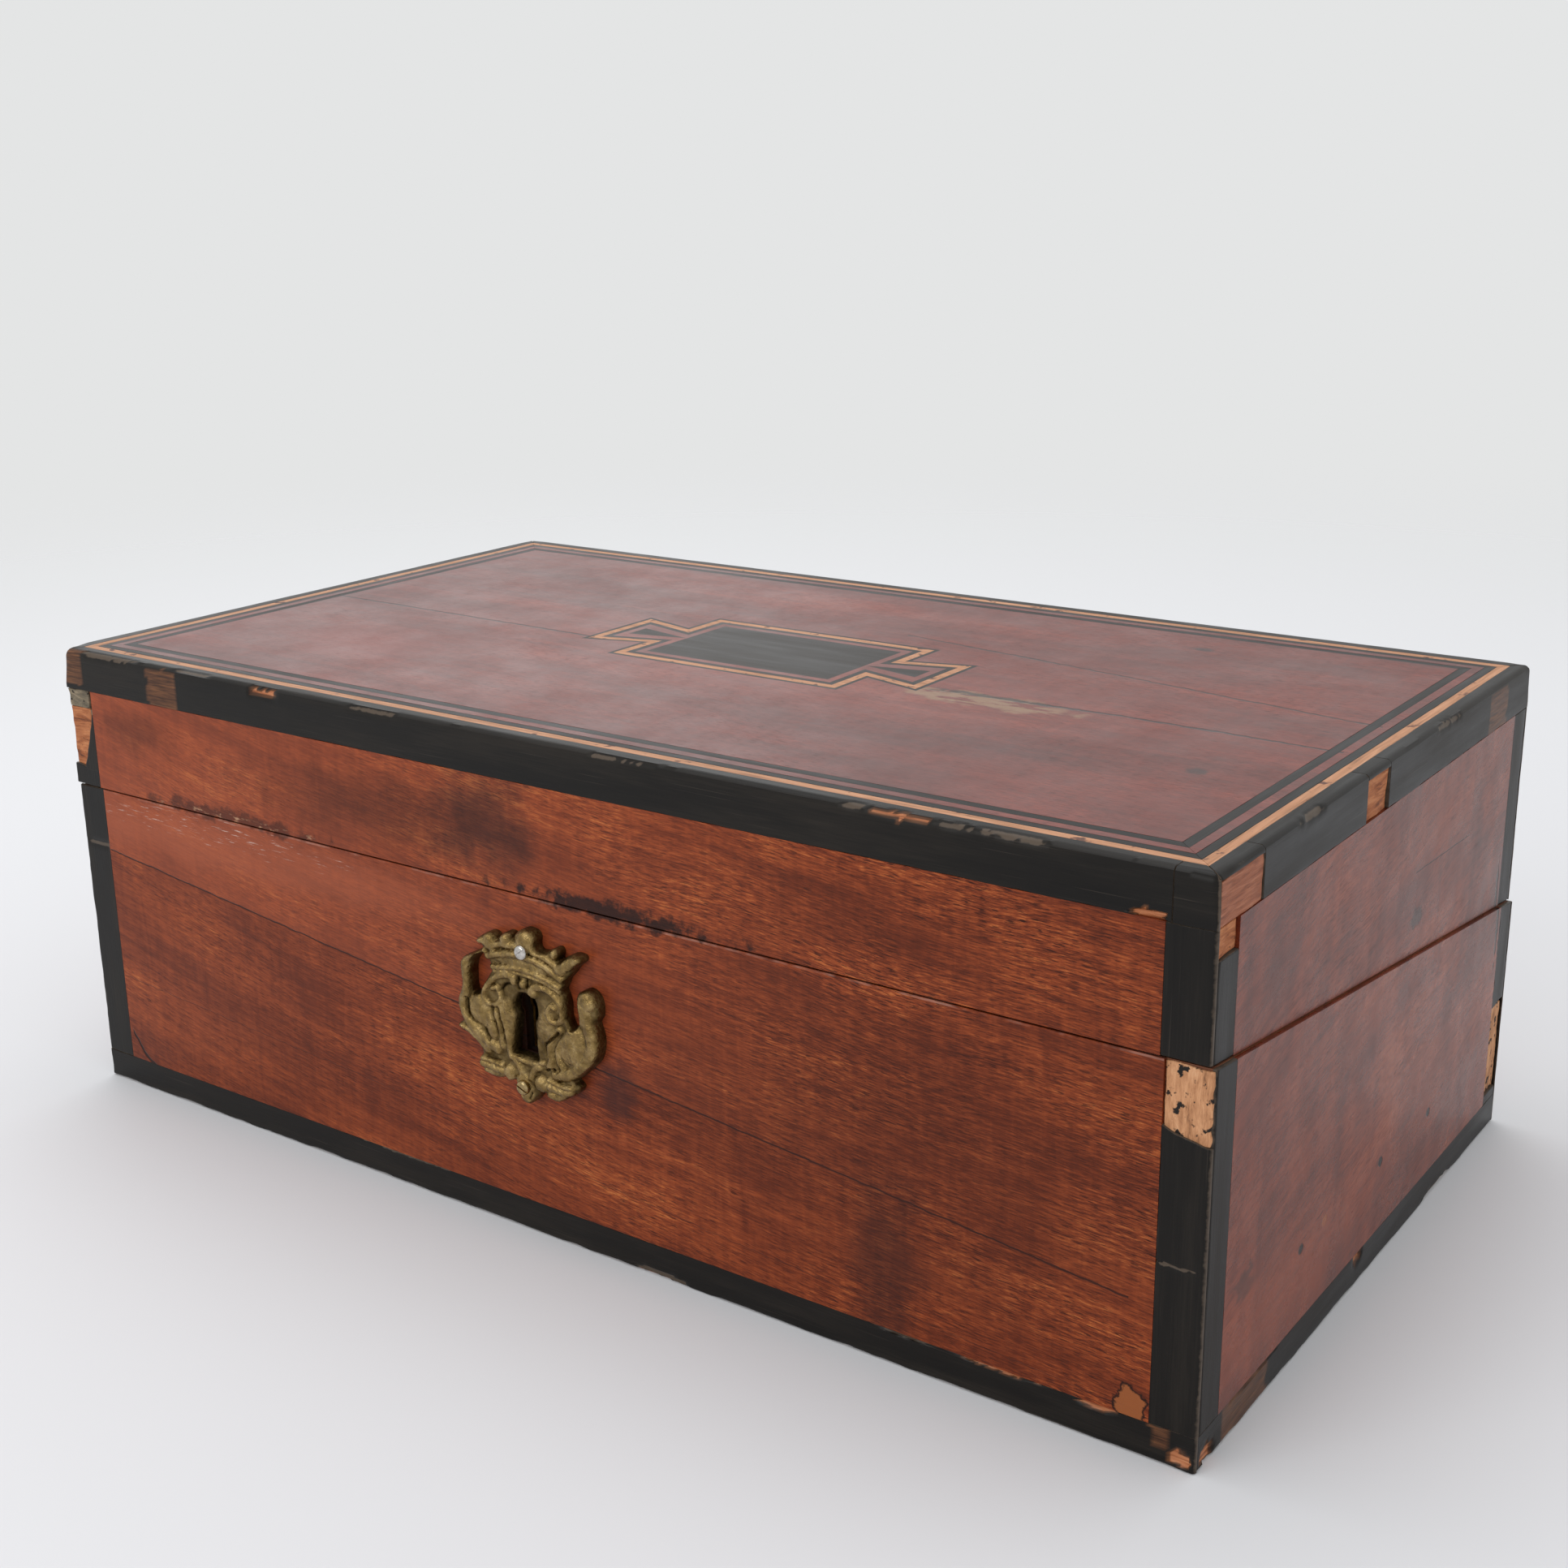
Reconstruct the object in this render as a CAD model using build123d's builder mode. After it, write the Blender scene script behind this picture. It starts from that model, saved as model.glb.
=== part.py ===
from build123d import *
import os
from math import atan, cos, sin

os.makedirs("parts", exist_ok=True)

# A writing slope: a veneered box, sawn apart on a slant into a base and a lid.
# Millimetres. X runs to the right along the front, Y to the back, Z up; the origin is the middle
# of the underside. The box is modelled shut and unlocked.

# The shut box
box_w = 406.0
box_d = 229.0
box_h = 152.0
split_front_h = 106.0  # height of the saw cut in the front face
saw_kerf = 0.5
lid_shift = -1.2  # the worn hinges let the lid sit a little to the left
arris_r = 1.0  # worn round edge of the top

# Timber of the carcase
wall_t = 9.0
bottom_t = 7.0
top_t = 8.0
rebate_d = 4.0  # depth of the rebates that take the side walls
glue_gap = 0.05  # between strips that lie edge to edge

# Veneer, bands and stringing
veneer_t = 1.2
post_w = 12.5  # corner strips, on each face
foot_h = 10.0
foot_lift = 0.3  # the foot bands stay clear of the table
edge_band_h = 12.0
# strips round the top, from the edge inwards
edge_ebony_w = 5.0
boxwood_w = 3.0
middle_ebony_w = 2.9
mahogany_w = 2.9
inner_ebony_w = 3.1

# Cartouche in the middle of the top
cartouche_x = -3.8
cartouche_y = 5.5
cartouche_w = 85.0
cartouche_d = 57.0
ear_reach = 63.2  # from the middle to the end of an ear
ear_end_d = 33.0
ear_neck_d = 21.5
line_ebony_w = 1.4
line_boxwood_w = 2.8
line_inner_w = 2.2
ground_w = 2.6  # mahogany between the inner line and the ebony panel
ear_panel_d = 9.0

# Main hinges
hinge_spread = 240.0  # from the middle of one hinge to the middle of the other
hinge_len = 38.0
hinge_proud = 0.6  # the axis stands this far behind the back face
leaf_t = 1.4
leaf_edge = 1.0  # timber left in front of a leaf
knuckle_r = 2.5
knuckle_count = 5
hinge_pin_r = 1.0
knuckle_gap = 0.15
pin_fit = 0.05
pocket_gap = 0.3

# Wood screws of the hinges, the lock and the link plate
screw_head_r = 1.9
screw_head_h = 1.3
screw_shank_r = 1.0
screw_len = 7.0
screw_slot_w = 0.5
screw_slot_d = 0.6
screw_fit = 0.03

# Writing flaps
flap_t = 7.0
flap_sink = 1.2  # the writing surface lies this far below the rim
flap_gap = 0.8
flap_border = 15.0
leather_t = 1.0
rail_w = 16.0
rail_h = 14.0
rail_gap = 0.3  # from the flap hinge axis to the timber on each side
rest_gap = 0.2
ledger_w = 8.0
ledger_h = 8.0
finger_lip = 2.0  # the base flap stands past the partition by this much

# Small hinges of the flaps
flap_hinge_spread = 230.0
flap_hinge_len = 24.0
flap_leaf_w = 7.0
flap_leaf_t = 0.8
flap_knuckle_r = 1.15
flap_knuckle_gap = 0.12
flap_pin_r = 0.5

# Slide bolt on the lid flap
catch_x = 60.0
catch_w = 6.0
catch_len = 10.5
catch_t = 2.0
catch_travel = 4.0
catch_back = 0.3  # the bolt lies this far inside the flap's edge when drawn back
catch_gap = 0.15
catch_plate_w = 14.0
catch_plate_len = 13.0
catch_plate_t = 0.8
stud_r = 1.4
stud_rise = 0.4

# Pen space behind the front wall
pen_d = 50.0
partition_t = 8.0
well_w = 50.0
divider_t = 5.0
divider_top = 88.0
tray_h = 22.0
tray_wall = 6.0
tray_gap = 0.8
bearer_w = 6.0
bearer_h = 8.0
scoop_r = 24.0
scoop_depth = 13.0
well_block_h = 30.0
well_gap = 1.0

# Inkwells
bottle_w = 38.0
bottle_h = 34.0
bottle_corner_r = 4.0
neck_r = 10.0
neck_h = 6.0
ink_r = 7.5
ink_depth = 32.0
cap_wall = 2.2
cap_top_t = 3.0
cap_round = 1.6

# Keyhole, as cut in the brass and, smaller, in the wood and the lock
keyhole_x = -3.2
keyhole_z = 73.3
keyhole_r = 4.6
keyhole_neck_w = 7.0
keyhole_foot_w = 9.6
keyhole_drop = 15.4
wood_keyhole_r = 4.2
wood_keyhole_w = 6.4
wood_keyhole_drop = 14.6

# Lock, let into the front wall from the inside
lock_w = 60.0
lock_low = 53.0
lock_wall = 0.9
lock_wood = 2.0  # timber left between the lock and the veneer
selvedge_w = 74.0
selvedge_t = 1.6
lock_screw_in = 3.4  # screw centre to the end of the lock's plate
drill_pin_r = 1.1
drill_pin_len = 5.0
bolt_t = 2.0
bolt_prong_h = 2.0
bolt_bar_h = 4.0
bolt_travel = 5.0
bolt_tail_w = 9.0
bolt_tail_in = 9.0  # the tail stays this far to the left of the drill pin

# Link plate in the rim of the lid
link_w = 62.0
link_d = 6.0
link_t = 1.5
link_screw_in = 7.0
staple_spread = 24.0
staple_t = 2.0
staple_w = 3.6
staple_len = 7.5
staple_hole_w = 2.3
staple_hole_h = 2.8
staple_hole_at = 5.1  # hole centre below the lid's rim
staple_slot_gap = 0.6

# Escutcheon, a brass casting
plate_t = 3.6
relief_t = 4.4
escutcheon_lean = 2.6  # degrees to the right
escutcheon_screw_up = 17.7
escutcheon_screw_down = 24.2
round_head_r = 2.2
round_head_h = 1.5
round_shank_r = 0.9
round_screw_len = 7.0
# right half of its outline, from the top down: three points are an arc, two a straight run
escutcheon_half = [
    ((0, 23.3), (3.2, 21.9), (4.4, 18.4)),
    ((4.4, 18.4), (5.4, 17.6)),
    ((5.4, 17.6), (9.0, 20.0), (12.2, 16.8)),
    ((12.2, 16.8), (15.6, 18.6)),
    ((15.6, 18.6), (18.4, 18.8), (18.9, 16.4)),
    ((18.9, 16.4), (13.0, 8.2)),
    ((13.0, 8.2), (16.4, 3.2), (15.2, -1.4)),
    ((15.2, -1.4), (18.0, -2.9), (20.2, -0.8)),
    ((20.2, -0.8), (20.0, 5.4), (16.9, 9.6)),
    ((16.9, 9.6), (20.6, 11.2), (23.8, 8.4)),
    ((23.8, 8.4), (25.2, 5.0), (23.9, 1.6)),
    ((23.9, 1.6), (25.4, -5.4), (23.8, -11.2)),
    ((23.8, -11.2), (25.9, -12.6)),
    ((25.9, -12.6), (20.4, -15.6), (16.4, -19.4)),
    ((16.4, -19.4), (17.6, -23.4), (13.6, -26.4)),
    ((13.6, -26.4), (8.6, -26.4), (4.2, -25.2)),
    ((4.2, -25.2), (2.9, -28.4), (0, -30.1)),
]
crown_arch = [((-15.4, 11.8), (0, 15.4), (15.4, 11.8)), ((-13.0, 8.3), (0, 10.8), (13.0, 8.3))]
# bosses of the relief: where they stand and their radius
escutcheon_bosses = {
    3.6: [(0, 19.4)],
    2.2: [(-8.9, 17.4), (8.9, 17.4), (-14.0, 1.6), (14.0, 1.6)],
    3.0: [(-13.4, -22.6), (13.4, -22.6)],
    3.2: [(0, -24.2)],
}
arm_rib = ((22.2, 6.0), (22.9, -5.0), (14.0, -18.6))
arm_rib_w = 2.6

# Worn losses in the ebony
left_strip_loss_low = 112.5
left_strip_loss_top = 138.8
right_strip_loss_low = 87.0
side_strip_loss_low = 131.0
band_loss_len = 25.0
band_notch_at = 91.0
band_notch_len = 16.0
rear_loss_low = 13.0
rear_loss_top = 43.0

# Worked out from the sizes above
core_w = box_w - 2 * veneer_t
core_d = box_d - 2 * veneer_t
core_top = box_h - veneer_t
wall_h = core_top - top_t - bottom_t
inner_w = core_w - 2 * wall_t
inner_d = core_d - 2 * wall_t
inner_front = -inner_d / 2
inner_back = inner_d / 2
hinge_y = box_d / 2 + hinge_proud
hinge_z = box_h / 2
slope = atan((split_front_h - hinge_z) / (hinge_y + box_d / 2))
leaf_reach = hinge_proud + veneer_t + wall_t - leaf_edge
flap_depth = flap_sink + flap_t
partition_front = inner_front + pen_d
flap_axis_v = -(hinge_proud + veneer_t + wall_t + rail_w)
down = (Align.CENTER, Align.CENTER, Align.MAX)
up = (Align.CENTER, Align.CENTER, Align.MIN)

# The two halves of the box. Each has an open face: the sawn rim, with its Z pointing out of the
# half, its Y running up the slope to the hinge axis and its origin beside that axis.
BASE, LID = -1, 1
halves = {BASE: "base", LID: "lid"}
shift = {BASE: 0.0, LID: lid_shift}
normal = Vector(0, sin(slope), cos(slope))
axis_point = Vector(0, hinge_y, hinge_z)
rim = {side: Plane(axis_point + normal * (side * saw_kerf / 2), (1, 0, 0), normal) for side in halves}
open_face = {side: Plane(rim[side].origin, (-side, 0, 0), normal * -side) for side in halves}


def save(piece, name):
    """Label a finished piece and write its STEP file."""
    piece.part.label = name
    export_step(piece.part, f"parts/{name}.step")


def keep_half(side):
    """Saw the current piece along the slope and keep the part that belongs to one half."""
    split(bisect_by=rim[side], keep=Keep.TOP if side == LID else Keep.BOTTOM)


def face_spot(side, x, v, w=0.0):
    """A place on the open face: x across the box, v along the slope, w out of the half."""
    return open_face[side].location * Location((-side * x, v, w))


def section_point(side, v, depth):
    """Y and Z of a point at v along the slope and some depth under the open face."""
    w = side * (saw_kerf / 2 + depth)
    return (hinge_y + v * cos(slope) + w * sin(slope), hinge_z - v * sin(slope) + w * cos(slope))


def section_at(side, y, depth):
    """Y and Z of the point under the open face at a given Y."""
    w = side * (saw_kerf / 2 + depth)
    return (y, hinge_z + (hinge_y - y) * sin(slope) / cos(slope) + w / cos(slope))


def slope_v(side, y, depth):
    """Distance along the slope of the point at a given Y and depth."""
    w = side * (saw_kerf / 2 + depth)
    return (y - hinge_y - w * sin(slope)) / cos(slope)


def across(points, width, middle, mode=Mode.ADD):
    """Add or cut a bar with the given Y, Z section, centred at X = middle."""
    with BuildSketch(Plane.YZ.offset(middle - width / 2)) as section:
        with BuildLine():
            Polyline(*points, close=True)
        make_face()
    extrude(section.sketch, amount=width, mode=mode)


def wood_screws(places, grow=0.0, mode=Mode.ADD):
    """Countersunk screws, or their holes when subtracted."""
    for place in places:
        with Locations(place):
            Cone(screw_shank_r + grow, screw_head_r + grow, screw_head_h, align=down, mode=mode)
            Cylinder(screw_shank_r + grow, screw_len + grow, align=down, mode=mode)


def screw_slots(places, slot_len):
    """Saw the driver slots of a set of screws, each turned a little further."""
    for turn, place in enumerate(places):
        with Locations(place * Location((0, 0, 0), (0, 0, 37 * turn))):
            Box(slot_len, screw_slot_w, screw_slot_d, align=down, mode=Mode.SUBTRACT)


def span_box(x_span, y_span, z_span, mode=Mode.ADD):
    """A box between two X, two Y and two Z values."""
    spans = (x_span, y_span, z_span)
    with Locations(tuple((low + high) / 2 for low, high in spans)):
        Box(*(high - low for low, high in spans), mode=mode)


# ---- Carcase ----

def long_wall(facing, side):
    """Front wall (facing -1) or back wall (facing 1), with a rebate at each end."""
    with BuildSketch(Plane.XY.offset(bottom_t)) as plan:
        with Locations((shift[side], facing * (core_d - wall_t) / 2)):
            Rectangle(core_w, wall_t)
        with Locations([(shift[side] + end * (core_w - wall_t) / 2,
                         facing * (inner_d + rebate_d) / 2) for end in (-1, 1)]):
            Rectangle(wall_t, rebate_d, mode=Mode.SUBTRACT)
    extrude(plan.sketch, amount=wall_h)
    keep_half(side)


def side_wall(end, side):
    """Left wall (end -1) or right wall (end 1)."""
    with BuildSketch(Plane.XY.offset(bottom_t)) as plan:
        with Locations((shift[side] + end * (core_w - wall_t) / 2, 0)):
            Rectangle(wall_t, inner_d + 2 * rebate_d)
    extrude(plan.sketch, amount=wall_h)
    keep_half(side)


hinge_places = [-hinge_spread / 2, hinge_spread / 2]
hinge_screw_pitch = hinge_len / 3
hinge_screws = {
    side: [face_spot(side, x + step * hinge_screw_pitch, -0.6 * leaf_reach)
           for x in hinge_places for step in (-1, 0, 1)]
    for side in halves
}


def cut_hinge_pockets(side):
    """Let the hinge leaves and knuckles into the back edge of a half."""
    for x in hinge_places:
        with Locations(face_spot(side, x, -leaf_reach / 2)):
            Box(hinge_len, leaf_reach, leaf_t, align=down, mode=Mode.SUBTRACT)
        with Locations(face_spot(side, x, 0, saw_kerf / 2)):
            Cylinder(knuckle_r + pocket_gap, hinge_len + 2 * pocket_gap, rotation=(0, 90, 0), mode=Mode.SUBTRACT)
    wood_screws(hinge_screws[side], screw_fit, Mode.SUBTRACT)


with BuildPart() as bottom_board:
    Box(core_w, core_d, bottom_t, align=up)
save(bottom_board, "bottom_board")

with BuildPart() as top_board:
    with Locations((lid_shift, 0, core_top)):
        Box(core_w, core_d, top_t, align=down)
save(top_board, "lid_top_board")

for side, half in halves.items():
    for end, hand in ((-1, "left"), (1, "right")):
        with BuildPart() as side_board:
            side_wall(end, side)
        save(side_board, f"{half}_{hand}_board")
    with BuildPart() as back_board:
        long_wall(1, side)
        cut_hinge_pockets(side)
    save(back_board, f"{half}_back_board")

# ---- Where the flaps lie ----

flap_w = inner_w - 2 * flap_gap
flap_rear_v = flap_axis_v - rail_gap
flap_front_v = {
    BASE: slope_v(BASE, partition_front - finger_lip, flap_depth),
    LID: slope_v(LID, inner_front, flap_sink) + flap_gap,
}
catch_depth = flap_sink + catch_plate_t + catch_gap
catch_tip_v = flap_front_v[LID] + catch_back
mortise_depth = catch_travel - catch_back + rest_gap

# ---- Lock ----

lock_front = -core_d / 2 + lock_wood
lock_back = inner_front
bolt_y = (lock_front + lock_back) / 2
bolt_depth = staple_hole_at - saw_kerf
bolt_z = section_at(BASE, bolt_y, bolt_depth)[1]
staple_v = slope_v(BASE, bolt_y, bolt_depth)
staple_x = [keyhole_x - staple_spread / 2, keyhole_x + staple_spread / 2]
ear_d = inner_front - lock_front
ear_v = slope_v(BASE, (lock_front + inner_front) / 2, 0)
lock_screws_at = [
    face_spot(BASE, keyhole_x + end * (selvedge_w / 2 - lock_screw_in), ear_v) for end in (-1, 1)
]
link_screws_at = [
    face_spot(LID, keyhole_x + end * (link_w / 2 - link_screw_in), staple_v) for end in (-1, 1)
]
lock_section = [
    section_at(BASE, lock_front, 0),
    (lock_front, lock_low),
    (lock_back, lock_low),
    section_at(BASE, lock_back, 0),
]


def keyhole(radius, neck, foot, drop):
    """Add a keyhole outline to the current sketch: a round and a slot that widens downwards."""
    Circle(radius)
    with BuildLine() as slot:
        Polyline((-neck / 2, 0), (neck / 2, 0), (foot / 2, -drop), (-foot / 2, -drop), close=True)
    make_face(slot.edges())


def cut_wood_keyhole(y_front, depth):
    """Cut the keyhole of the timber and the lock, from a given Y backwards."""
    with BuildSketch(Plane((keyhole_x, y_front, keyhole_z), (1, 0, 0), (0, -1, 0))) as hole:
        keyhole(wood_keyhole_r, wood_keyhole_w, wood_keyhole_w, wood_keyhole_drop)
    extrude(hole.sketch, amount=-depth, mode=Mode.SUBTRACT)


escutcheon_plane = Plane(
    (keyhole_x, -box_d / 2, keyhole_z),
    Vector(1, 0, 0).rotate(Axis.Y, escutcheon_lean),
    (0, -1, 0),
)
escutcheon_screws_at = [
    escutcheon_plane.location * Location((0, rise, relief_t))
    for rise in (escutcheon_screw_up, -escutcheon_screw_down)
]


def round_head_holes():
    """Drill the holes of the two escutcheon screws."""
    for place in escutcheon_screws_at:
        with Locations(place):
            Cylinder(round_shank_r + screw_fit, round_screw_len + screw_fit, align=down, mode=Mode.SUBTRACT)


with BuildPart() as base_front_board:
    long_wall(-1, BASE)
    across(lock_section, lock_w, keyhole_x, Mode.SUBTRACT)
    with Locations(face_spot(BASE, keyhole_x, ear_v)):
        Box(selvedge_w, ear_d, selvedge_t, align=down, mode=Mode.SUBTRACT)
    wood_screws(lock_screws_at, screw_fit, Mode.SUBTRACT)
    cut_wood_keyhole(-core_d / 2, lock_wood)
    round_head_holes()
save(base_front_board, "base_front_board")

with BuildPart() as lock_case:
    across(lock_section, lock_w, keyhole_x)
    with Locations(face_spot(BASE, keyhole_x, ear_v)):
        Box(selvedge_w, ear_d, selvedge_t, align=down)
    room_front = lock_front + lock_wall
    room_back = lock_back - lock_wall
    across(
        [
            section_at(BASE, room_front, selvedge_t),
            (room_front, lock_low + lock_wall),
            (room_back, lock_low + lock_wall),
            section_at(BASE, room_back, selvedge_t),
        ],
        lock_w - 2 * lock_wall,
        keyhole_x,
        Mode.SUBTRACT,
    )
    for x in staple_x:
        with Locations(face_spot(BASE, x, staple_v)):
            Box(
                staple_t + 2 * staple_slot_gap,
                staple_w + 2 * staple_slot_gap,
                2 * selvedge_t,
                mode=Mode.SUBTRACT,
            )
    cut_wood_keyhole(lock_front, lock_wall)
    with Locations(Location((keyhole_x, room_back, keyhole_z), (90, 0, 0))):
        Cylinder(drill_pin_r, drill_pin_len, align=up)
    wood_screws(lock_screws_at, screw_fit, Mode.SUBTRACT)
save(lock_case, "lock_case")

with BuildPart() as lock_screws:
    wood_screws(lock_screws_at)
    screw_slots(lock_screws_at, 2 * screw_head_r)
save(lock_screws, "lock_screws")

prong_reach = staple_t / 2 + staple_slot_gap
prong_back = prong_reach + bolt_travel
bar_top = bolt_z - staple_hole_h / 2 - (staple_len - staple_hole_at) - staple_slot_gap
bar_low = bar_top - bolt_bar_h
prong_top = bolt_z + bolt_prong_h / 2
tail_right = keyhole_x - bolt_tail_in
with BuildPart() as lock_bolt:
    with BuildSketch(Plane((0, bolt_y + bolt_t / 2, 0), (1, 0, 0), (0, -1, 0))) as outline:
        for x in staple_x:
            with BuildLine():
                Polyline(
                    (x - prong_back - bolt_bar_h, bar_low),
                    (x - prong_back - bolt_bar_h, prong_top),
                    (x - prong_reach, prong_top),
                    (x - prong_reach, prong_top - bolt_prong_h),
                    (x - prong_back, prong_top - bolt_prong_h),
                    (x - prong_back, bar_low),
                    close=True,
                )
            make_face()
        with Locations((keyhole_x, (bar_low + bar_top) / 2)):
            Rectangle(staple_spread + 4 * bolt_bar_h, bolt_bar_h)
        with Locations((tail_right - bolt_tail_w / 2, (bar_low + keyhole_z - keyhole_r) / 2)):
            Rectangle(bolt_tail_w, bar_low - keyhole_z + keyhole_r)
        with Locations((tail_right, keyhole_z)):
            Rectangle(bolt_tail_w, bolt_travel, mode=Mode.SUBTRACT)
    extrude(amount=bolt_t)
save(lock_bolt, "lock_bolt")

with BuildPart() as lid_front_board:
    long_wall(-1, LID)
    with Locations(face_spot(LID, keyhole_x, staple_v)):
        Box(link_w, link_d, link_t, align=down, mode=Mode.SUBTRACT)
    wood_screws(link_screws_at, screw_fit, Mode.SUBTRACT)
    with Locations(face_spot(LID, catch_x, flap_front_v[LID], catch_gap - catch_depth)):
        Box(
            catch_w + 2 * catch_gap,
            2 * mortise_depth,
            catch_t + 2 * catch_gap,
            align=down,
            mode=Mode.SUBTRACT,
        )
save(lid_front_board, "lid_front_board")

with BuildPart() as link_plate:
    with Locations(face_spot(LID, keyhole_x, staple_v)):
        Box(link_w, link_d, link_t, align=down)
    for x in staple_x:
        with Locations(face_spot(LID, x, staple_v)):
            Box(staple_t, staple_w, staple_len, align=up)
        with Locations(face_spot(LID, x, staple_v, staple_hole_at)):
            Box(2 * staple_t, staple_hole_w, staple_hole_h, mode=Mode.SUBTRACT)
    wood_screws(link_screws_at, screw_fit, Mode.SUBTRACT)
save(link_plate, "link_plate")

with BuildPart() as link_screws:
    wood_screws(link_screws_at)
    screw_slots(link_screws_at, 2 * screw_head_r)
save(link_screws, "link_plate_screws")

# ---- Escutcheon ----

with BuildPart() as escutcheon:
    with BuildSketch(escutcheon_plane):
        with BuildLine():
            for run in escutcheon_half:
                if len(run) == 3:
                    ThreePointArc(*run)
                else:
                    Line(*run)
            mirror(about=Plane.YZ)
        make_face()
    extrude(amount=plate_t)
    with BuildSketch(escutcheon_plane):
        with BuildLine():
            arch_top, arch_low = (ThreePointArc(*run) for run in crown_arch)
            Line(arch_top @ 0, arch_low @ 0)
            Line(arch_top @ 1, arch_low @ 1)
        make_face()
        for radius, places in escutcheon_bosses.items():
            with Locations(*places):
                Circle(radius)
        for hand in (-1, 1):
            with BuildLine():
                ThreePointArc(*[(hand * x, y) for x, y in arm_rib])
            trace(line_width=arm_rib_w)
    extrude(amount=relief_t)
    with BuildSketch(escutcheon_plane):
        keyhole(keyhole_r, keyhole_neck_w, keyhole_foot_w, keyhole_drop)
    extrude(amount=relief_t, mode=Mode.SUBTRACT)
    round_head_holes()
save(escutcheon, "escutcheon")

with BuildPart() as escutcheon_screws:
    for place in escutcheon_screws_at:
        with Locations(place):
            Cylinder(round_shank_r, round_screw_len, align=down)
            Cylinder(round_head_r, round_head_h, align=up)
    fillet(escutcheon_screws.faces().group_by(Axis.Y)[0].edges(), 0.6 * round_head_h)
    for turn, place in enumerate(escutcheon_screws_at):
        with Locations(place * Location((0, 0, round_head_h), (0, 0, 40 - 60 * turn))):
            Box(2 * round_head_r, screw_slot_w, screw_slot_d, align=down, mode=Mode.SUBTRACT)
save(escutcheon_screws, "escutcheon_screws")

# ---- Main hinges ----

knuckle_len = hinge_len / knuckle_count


def hinge_leaves(side, own, bore_r):
    """The two leaves of one half: plates let into the rim, with their own knuckles on the axis."""
    for x in hinge_places:
        with Locations(face_spot(side, x, -leaf_reach / 2)):
            Box(hinge_len, leaf_reach, leaf_t, align=down)
        for place in range(knuckle_count):
            middle = x + (place + 0.5) * knuckle_len - hinge_len / 2
            with Locations(face_spot(side, middle, 0, saw_kerf / 2)):
                if place % 2 == own:
                    Cylinder(knuckle_r, knuckle_len - knuckle_gap, rotation=(0, 90, 0))
        for place in range(knuckle_count):
            middle = x + (place + 0.5) * knuckle_len - hinge_len / 2
            with Locations(face_spot(side, middle, 0, saw_kerf / 2)):
                if place % 2 != own:
                    Cylinder(
                        knuckle_r + knuckle_gap,
                        knuckle_len + knuckle_gap,
                        rotation=(0, 90, 0),
                        mode=Mode.SUBTRACT,
                    )
        with Locations(face_spot(side, x, 0, saw_kerf / 2)):
            Cylinder(bore_r, hinge_len + knuckle_len, rotation=(0, 90, 0), mode=Mode.SUBTRACT)
    wood_screws(hinge_screws[side], screw_fit, Mode.SUBTRACT)


for side, half in halves.items():
    with BuildPart() as leaves:
        hinge_leaves(side, 0 if side == BASE else 1, hinge_pin_r if side == BASE else hinge_pin_r + pin_fit)
    save(leaves, f"hinge_{half}_leaves")
    with BuildPart() as leaf_screws:
        wood_screws(hinge_screws[side])
        screw_slots(hinge_screws[side], 2 * screw_head_r)
    save(leaf_screws, f"hinge_{half}_screws")

with BuildPart() as hinge_pins:
    with Locations([Location((x, hinge_y, hinge_z), (0, 90, 0)) for x in hinge_places]):
        Cylinder(hinge_pin_r, hinge_len)
save(hinge_pins, "hinge_pins")

# ---- Writing flaps, their rails, ledgers and hinges ----

flap_hinge_places = {
    side: [shift[side] + end * flap_hinge_spread / 2 for end in (-1, 1)] for side in halves
}
flap_knuckle_len = flap_hinge_len / 3


def cut_flap_hinge(side, reach):
    """Let one row of small hinge leaves into a rail (reach above 0) or a flap (reach below 0)."""
    for x in flap_hinge_places[side]:
        with Locations(face_spot(side, x, flap_axis_v + reach / 2, -flap_sink)):
            Box(flap_hinge_len, abs(reach), flap_leaf_t, align=down, mode=Mode.SUBTRACT)
        with Locations(face_spot(side, x, flap_axis_v, -flap_sink)):
            Cylinder(
                flap_knuckle_r + flap_knuckle_gap,
                flap_hinge_len + 2 * flap_knuckle_gap,
                rotation=(0, 90, 0),
                mode=Mode.SUBTRACT,
            )


def flap_leaves(side, reach, turns):
    """Small hinge leaves with the knuckles at the given turns; the outer ones carry the pin."""
    for x in flap_hinge_places[side]:
        with Locations(face_spot(side, x, flap_axis_v + reach / 2, -flap_sink)):
            Box(flap_hinge_len, abs(reach), flap_leaf_t, align=down)
        for turn in (-1, 0, 1):
            with Locations(face_spot(side, x + turn * flap_knuckle_len, flap_axis_v, -flap_sink)):
                if turn in turns:
                    Cylinder(flap_knuckle_r, flap_knuckle_len - flap_knuckle_gap, rotation=(0, 90, 0))
        for turn in (-1, 0, 1):
            with Locations(face_spot(side, x + turn * flap_knuckle_len, flap_axis_v, -flap_sink)):
                if turn not in turns:
                    Cylinder(
                        flap_knuckle_r + flap_knuckle_gap,
                        flap_knuckle_len + flap_knuckle_gap,
                        rotation=(0, 90, 0),
                        mode=Mode.SUBTRACT,
                    )
        with Locations(face_spot(side, x, flap_axis_v, -flap_sink)):
            if 0 in turns:
                Cylinder(flap_pin_r + pin_fit, flap_hinge_len, rotation=(0, 90, 0), mode=Mode.SUBTRACT)
            else:
                Cylinder(flap_pin_r, flap_hinge_len - flap_knuckle_gap, rotation=(0, 90, 0))


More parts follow.
